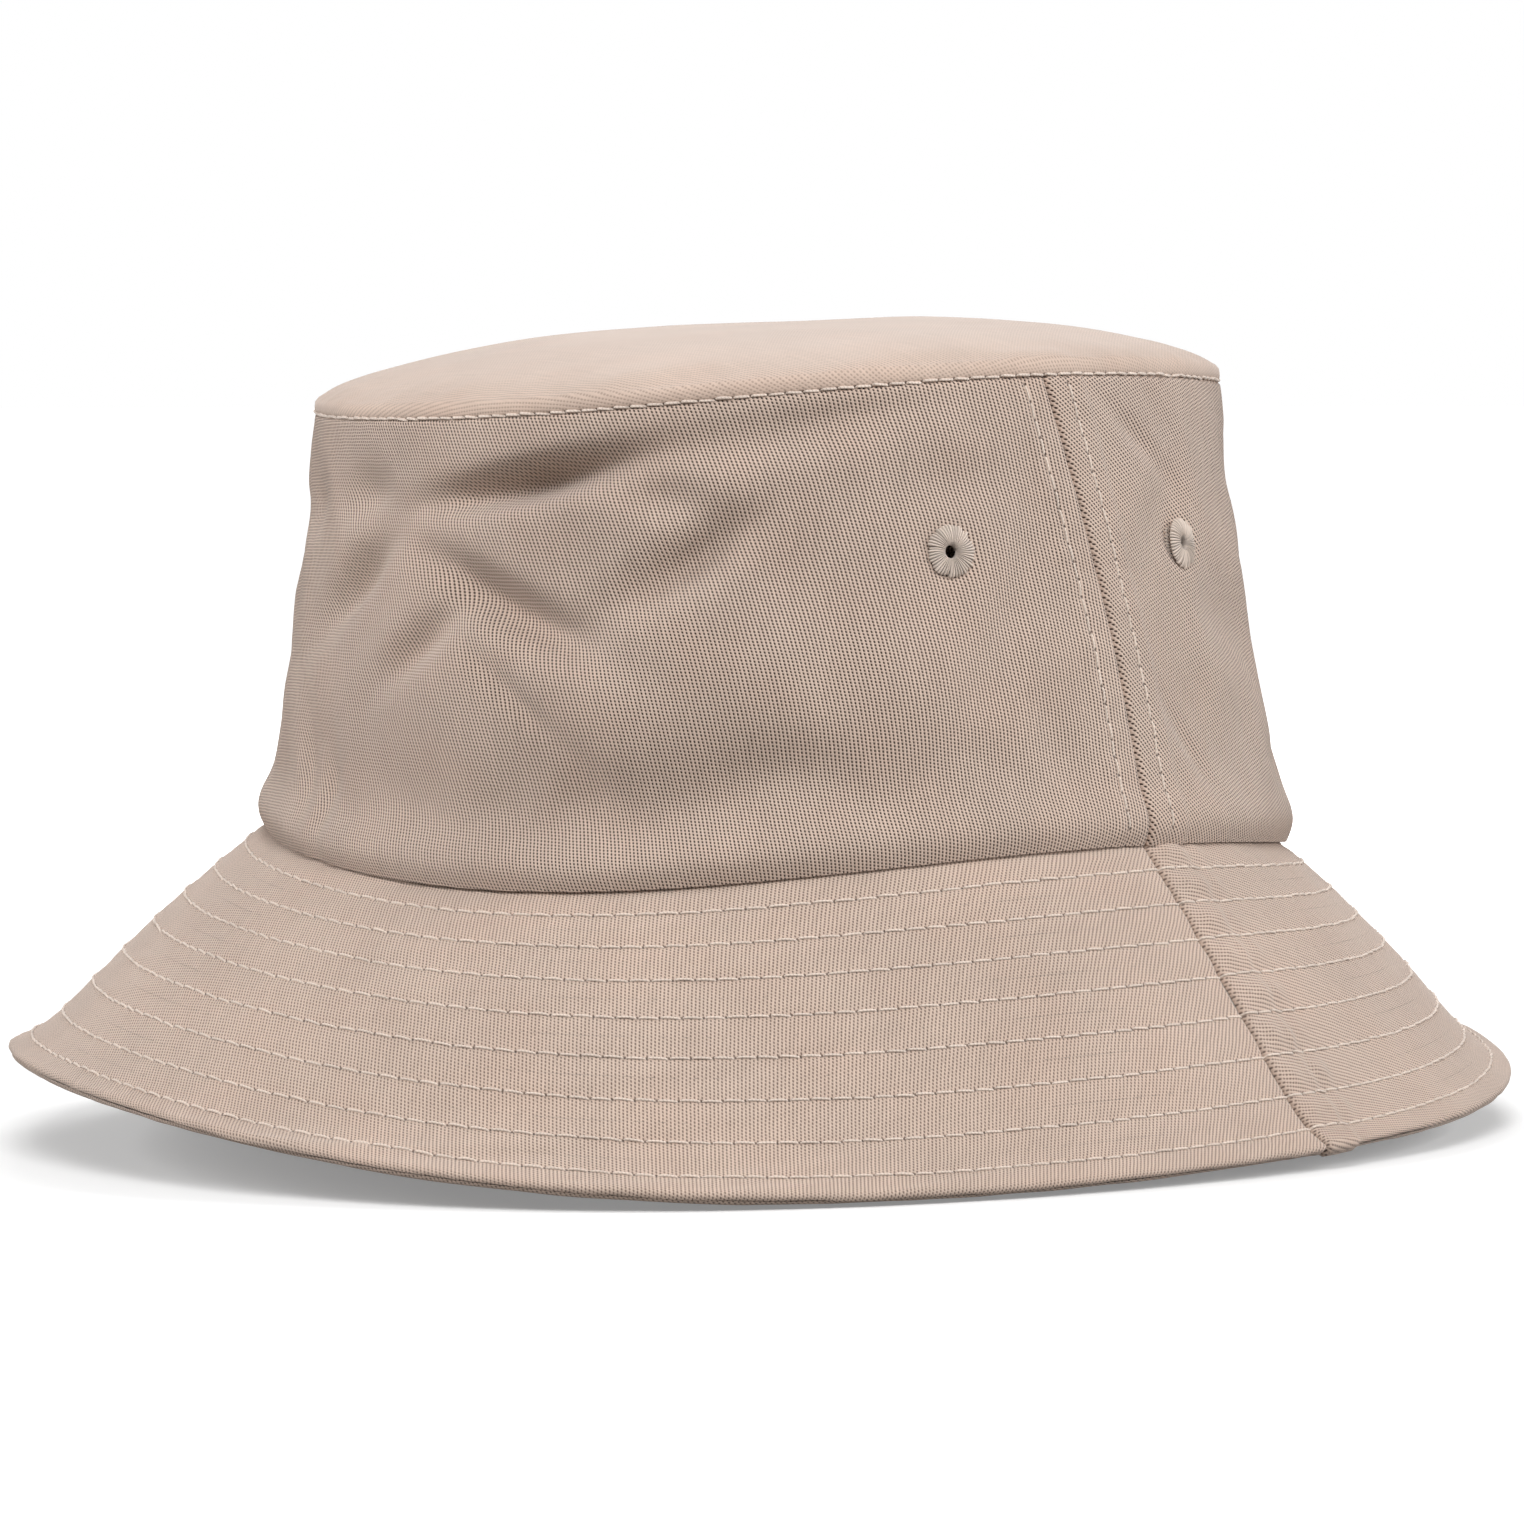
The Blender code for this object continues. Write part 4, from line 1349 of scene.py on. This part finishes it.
def twill_material(name, pitch, valley_shade_strength, relief):
    """Three-over-one twill: each weft shows between the warp floats as a dot in a valley; the lower the
    weave lies, the darker it is painted, as shade.
    """
    shader = Shader(name, "twill")
    place, (i, j), (fu, fv) = yarn_grid(shader, pitch, 0.55)
    crown = rounded(shader, fu)
    yarns = shader.plus(shader.plus(i, fu), shader.plus(j, fv))
    valley = shader.math("COSINE", shader.times(yarns, TAU / TWILL_REPEAT))
    valley = shader.plus(shader.times(valley, 0.5), 0.5)
    dot = shader.math("POWER", shader.times(valley, rounded(shader, fv)), 1.3)
    low = shader.plus(shader.times(dot, 0.85), shader.times(valley, 0.15))
    height = shader.plus(shader.minus(0.9, low), shader.times(crown, 0.08))
    fibers = shader.vector(shader.times(fu, 2.5), shader.times(yarns, 1.3), fv)
    height = shader.plus(height, shader.times(shader.noise(fibers, 2.0), 0.10))
    shade = shader.between(height, 0.20, 0.84)
    # The low spots of the weave are painted towards a shade colour; the last but one argument sets how
    # far
    dark = tuple(mix(light, low, valley_shade_strength) for light, low in zip(TWILL_LIGHT, TWILL_VALLEY_SHADE))
    color = shader.mix_color(shade, dark, TWILL_LIGHT)
    weft_run = shader.math("FLOOR", shader.times(j, 0.09))
    color = mottled(shader, color, place, shader.vector(i, weft_run, 1.0))
    # Needle holes are painted dark as the shade inside them, and are also sunk in the bump
    hole = needle_hole(shader)
    color = shader.mix_color(shader.times(hole, 0.8), color, NEEDLE_HOLE_SHADE)
    height = shader.minus(height, shader.times(hole, 1.2))
    return shader.finish(color, height, relief)


def plain_weave_material(name, slot, tone, pitch):
    """Plain weave: yarns go over and under one another in turn."""
    shader = Shader(name, slot)
    place, (i, j), (fu, fv) = yarn_grid(shader, pitch, 0.5)
    over = shader.math("FLOORED_MODULO", shader.plus(i, j), 2.0)
    warp_crown, weft_crown = rounded(shader, fu), rounded(shader, fv)
    warp = shader.times(warp_crown, shader.plus(shader.times(weft_crown, 0.6), 0.3))
    weft = shader.times(weft_crown, shader.plus(shader.times(warp_crown, 0.6), 0.2))
    height = shader.node("ShaderNodeMix", {0: over, 2: weft, 3: warp}, data_type="FLOAT").outputs[0]
    # The low spots of the weave are painted darker, as shade
    shade = shader.between(height, 0.0, 0.75)
    dark = tuple(0.62 * part for part in tone)
    color = shader.mix_color(shade, dark, tone)
    color = mottled(shader, color, place, shader.vector(i, 0.0, 2.0))
    return shader.finish(color, height, 0.09 * MM)


def thread_material(name):
    """Twisted sewing thread: plies run round it, painted darker between them as shade, and each stitch
    is painted a little lighter or darker as its own catch of the light.
    """
    shader = Shader(name, "thread")
    along, around, tone = shader.field("thread")
    turns = shader.plus(shader.math("DIVIDE", along, 0.62 * MM), around)
    ply = rounded(shader, shader.math("FRACT", turns))
    # Painted shade between the plies
    dark = tuple(0.78 * part for part in THREAD_COLOR)
    color = shader.mix_color(shader.between(ply, 0.0, 0.7), dark, THREAD_COLOR)
    color = shader.scaled(color, shader.plus(shader.times(tone, 0.16), 0.92))
    return shader.finish(color, ply, 0.05 * MM, roughness=0.6, sheen=0.3)


def embroidery_material(name):
    """Satin stitches round an eyelet, each a little lighter or darker than its neighbours."""
    shader = Shader(name, "thread")
    radius, across, tone = shader.field("thread")
    ridge = rounded(shader, across)
    hairs = shader.noise(shader.vector(radius, shader.times(across, 2 * MM), tone), 2400.0)
    height = shader.plus(ridge, shader.times(hairs, 0.25))
    # Between neighbouring satin stitches the thread is painted much darker, as shade
    light = tuple(0.92 * part for part in THREAD_COLOR)
    dark = tuple(0.30 * part for part in THREAD_COLOR)
    color = shader.mix_color(shader.between(height, 0.1, 0.9), dark, light)
    color = shader.scaled(color, shader.plus(shader.times(tone, 0.24), 0.86))
    return shader.finish(color, height, 0.08 * MM, roughness=0.55, sheen=0.3)


def satin_material(name):
    """Blank woven satin: fine ribs across and a silky gloss."""
    shader = Shader(name, "label_satin")
    x, y, _ = shader.field("grain")
    rib = rounded(shader, shader.math("FRACT", shader.math("DIVIDE", y, 0.24 * MM)))
    warp = rounded(shader, shader.math("FRACT", shader.math("DIVIDE", x, 0.12 * MM)))
    height = shader.plus(rib, shader.times(warp, 0.3))
    # Between the ribs the satin is painted darker, as shade
    dark = tuple(0.86 * part for part in SATIN_COLOR)
    color = shader.mix_color(shader.between(height, 0.1, 1.0), dark, SATIN_COLOR)
    cloud = shader.noise(shader.vector(x, y), 120.0, 3.0)
    color = shader.scaled(color, shader.between(cloud, 0.3, 0.7, 0.96, 1.02))
    return shader.finish(color, height, 0.03 * MM, roughness=0.38, sheen=0.1)


def fleece_material(name):
    """Non-woven stiffener: short fibres pressed together."""
    shader = Shader(name, "interlining")
    x, y, _ = shader.field("grain")
    fibers = shader.noise(shader.vector(x, shader.times(y, 0.4)), 2600.0, 3.0)
    dark = tuple(0.82 * part for part in INTERLINING_COLOR)
    color = shader.mix_color(shader.between(fibers, 0.3, 0.7), dark, INTERLINING_COLOR)
    return shader.finish(color, fibers, 0.08 * MM)


# ---------------------------------------------------------------- studio

CAMERA_AZIMUTH = math.radians(47.395)
CAMERA_ELEVATION = math.radians(3.258)
CAMERA_DISTANCE = 1.25989
CAMERA_TARGET_HEIGHT = 13.785 * MM
CAMERA_LENS = 157.48
CAMERA_SHIFT = (-0.01208, 0.00111)
FLOOR_DROP = 0.8 * MM
FLOOR_SIZE = 60
FLOOR_COLOR = (0.84, 0.84, 0.84)
FLOOR_BOUNCE = (0.36, 0.35, 0.34)
FLOOR_FADE = (0.25, 0.75)
FLOOR_GLOW = (0.25, 1.0)
SKY_STRENGTH = 0.16
SKY_LOW = 0.05

# Softboxes: place, side and power in watts
SOFTBOXES = {
    "overhead_softbox": ((0.1, -0.05, 1.3), 0.8, 0.6),
    "front_softbox": ((0.92, -0.85, 1.05), 0.7, 17.5),
    "left_softbox": ((-1.0, -1.4, 0.8), 0.8, 19),
    "right_softbox": ((1.4, 1.0, 0.75), 0.8, 21),
    "back_softbox": ((-0.95, 0.88, 0.95), 0.8, 9),
}


def add_camera():
    across = math.cos(CAMERA_ELEVATION)
    sine, cosine = math.sin(CAMERA_AZIMUTH), math.cos(CAMERA_AZIMUTH)
    back = Vector((sine * across, -cosine * across, math.sin(CAMERA_ELEVATION)))
    right = Vector((cosine, sine, 0))
    up = back.cross(right)
    data = bpy.data.cameras.new("camera")
    data.lens = CAMERA_LENS
    data.shift_x, data.shift_y = CAMERA_SHIFT
    data.clip_start, data.clip_end = 0.01, 100
    camera = bpy.data.objects.new("camera", data)
    target = Vector(OPENING_MIDDLE) + Vector((0, 0, CAMERA_TARGET_HEIGHT))
    turned = Matrix((right, up, back)).transposed().to_4x4()
    camera.matrix_world = Matrix.Translation(target + back * CAMERA_DISTANCE) @ turned
    bpy.context.scene.collection.objects.link(camera)
    bpy.context.scene.camera = camera


def add_softbox(name, place, side, watts):
    """A square area light aimed at the middle of the hat."""
    data = bpy.data.lights.new(name, "AREA")
    data.shape = "SQUARE"
    data.size = side
    data.energy = watts
    light = bpy.data.objects.new(name, data)
    light.location = place
    toward = Vector(OPENING_MIDDLE) - Vector(place)
    light.rotation_mode = "QUATERNION"
    light.rotation_quaternion = toward.to_track_quat("-Z", "Y")
    bpy.context.scene.collection.objects.link(light)


def add_floor():
    """A pale matt floor that fades into the white backdrop and sends little light back up."""
    shader = Shader("studio_floor")
    place = shader.node("ShaderNodeTexCoord").outputs["Object"]
    grain = shader.noise(place, 900.0, 2.0)
    seen = shader.node("ShaderNodeLightPath").outputs["Is Camera Ray"]
    color = shader.mix_color(seen, FLOOR_BOUNCE, FLOOR_COLOR)
    material = shader.finish(color, grain, 0.02 * MM, roughness=0.9, sheen=0.0)
    away = shader.node("ShaderNodeVectorMath", {0: place}, operation="LENGTH").outputs["Value"]
    fade = shader.between(away, *FLOOR_FADE, *FLOOR_GLOW)
    shader.plug(shader.surface.inputs["Emission Color"], (1, 1, 1, 1))
    shader.plug(shader.surface.inputs["Emission Strength"], shader.times(fade, seen))
    bpy.ops.mesh.primitive_plane_add(size=FLOOR_SIZE, location=(0, 0, -FLOOR_DROP))
    floor = bpy.context.object
    floor.name = "studio_floor"
    floor.data.materials.append(material)


def set_world():
    """White behind the hat, and a soft light that is stronger from above on the cloth."""
    world = bpy.data.worlds.new("studio")
    world.use_nodes = True
    bpy.context.scene.world = world
    nodes, links = world.node_tree.nodes, world.node_tree.links
    nodes.clear()
    coordinates = nodes.new("ShaderNodeTexCoord")
    split = nodes.new("ShaderNodeSeparateXYZ")
    gradient = nodes.new("ShaderNodeMapRange")
    gradient.inputs["From Min"].default_value = -0.2
    gradient.inputs["From Max"].default_value = 1.0
    gradient.inputs["To Min"].default_value = SKY_LOW
    gradient.inputs["To Max"].default_value = SKY_STRENGTH
    light, seen = nodes.new("ShaderNodeBackground"), nodes.new("ShaderNodeBackground")
    seen.inputs["Strength"].default_value = 1.0
    path, chosen = nodes.new("ShaderNodeLightPath"), nodes.new("ShaderNodeMixShader")
    output = nodes.new("ShaderNodeOutputWorld")
    for background in (light, seen):
        background.inputs["Color"].default_value = (1, 1, 1, 1)
    links.new(coordinates.outputs["Generated"], split.inputs[0])
    links.new(split.outputs["Z"], gradient.inputs["Value"])
    links.new(gradient.outputs["Result"], light.inputs["Strength"])
    links.new(path.outputs["Is Camera Ray"], chosen.inputs[0])
    links.new(light.outputs[0], chosen.inputs[1])
    links.new(seen.outputs[0], chosen.inputs[2])
    links.new(chosen.outputs[0], output.inputs[0])


def set_studio():
    """The floor, the sky, the softboxes and the camera."""
    add_floor()
    set_world()
    for name, (place, side, watts) in SOFTBOXES.items():
        add_softbox(name, place, side, watts)
    add_camera()
    bpy.context.scene.view_settings.view_transform = "Standard"


# ---------------------------------------------------------------- the hat


def build():
    """Every visible piece of the hat; all but the brim's layers, interlining and quilting are put on
    their bodies.
    """
    # One twill in three copies: the painted shade in its low spots is strongest on the wall, weaker on
    # the brim and weakest on the tip, to follow how the light falls on each
    wall_twill = twill_material("twill_wall", TWILL_PITCH, 1.0, 0.19 * MM)
    brim_twill = twill_material("twill_brim", TWILL_PITCH, 0.7, 0.13 * MM)
    tip_twill = twill_material("twill_tip", TWILL_PITCH, 0.35, 0.04 * MM)
    thread = thread_material("sewing_thread")
    stiffener = fleece_material("brim_stiffener")
    for half in HALVES:
        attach(add_side_panel(half, wall_twill), ROOT)
        for layer in ("upper", "under"):
            bend_with_brim(add_brim_layer(half, layer, brim_twill))
        bend_with_brim(add_interlining(half, stiffener))
    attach(add_tip(tip_twill), ROOT)
    tape = plain_weave_material("cotton_tape", "tape", TAPE_COLOR, PLAIN_PITCH)
    band = plain_weave_material("sweatband_cotton", "sweatband_cotton", LINING_COLOR, PLAIN_PITCH)
    band_skin = add_linings(tape, band)
    add_quilting(thread)
    add_tip_topstitch(thread)
    add_side_topstitch(thread)
    add_sweatband_topstitch(band_skin, thread)
    add_eyelets(embroidery_material("eyelet_thread"))
    satin = satin_material("label_satin")
    add_label("care_label", CARE_LABEL, satin)
    add_label("size_label", SIZE_LABEL, satin)


WALL_SETTLED = settle_wall()
build()
set_studio()
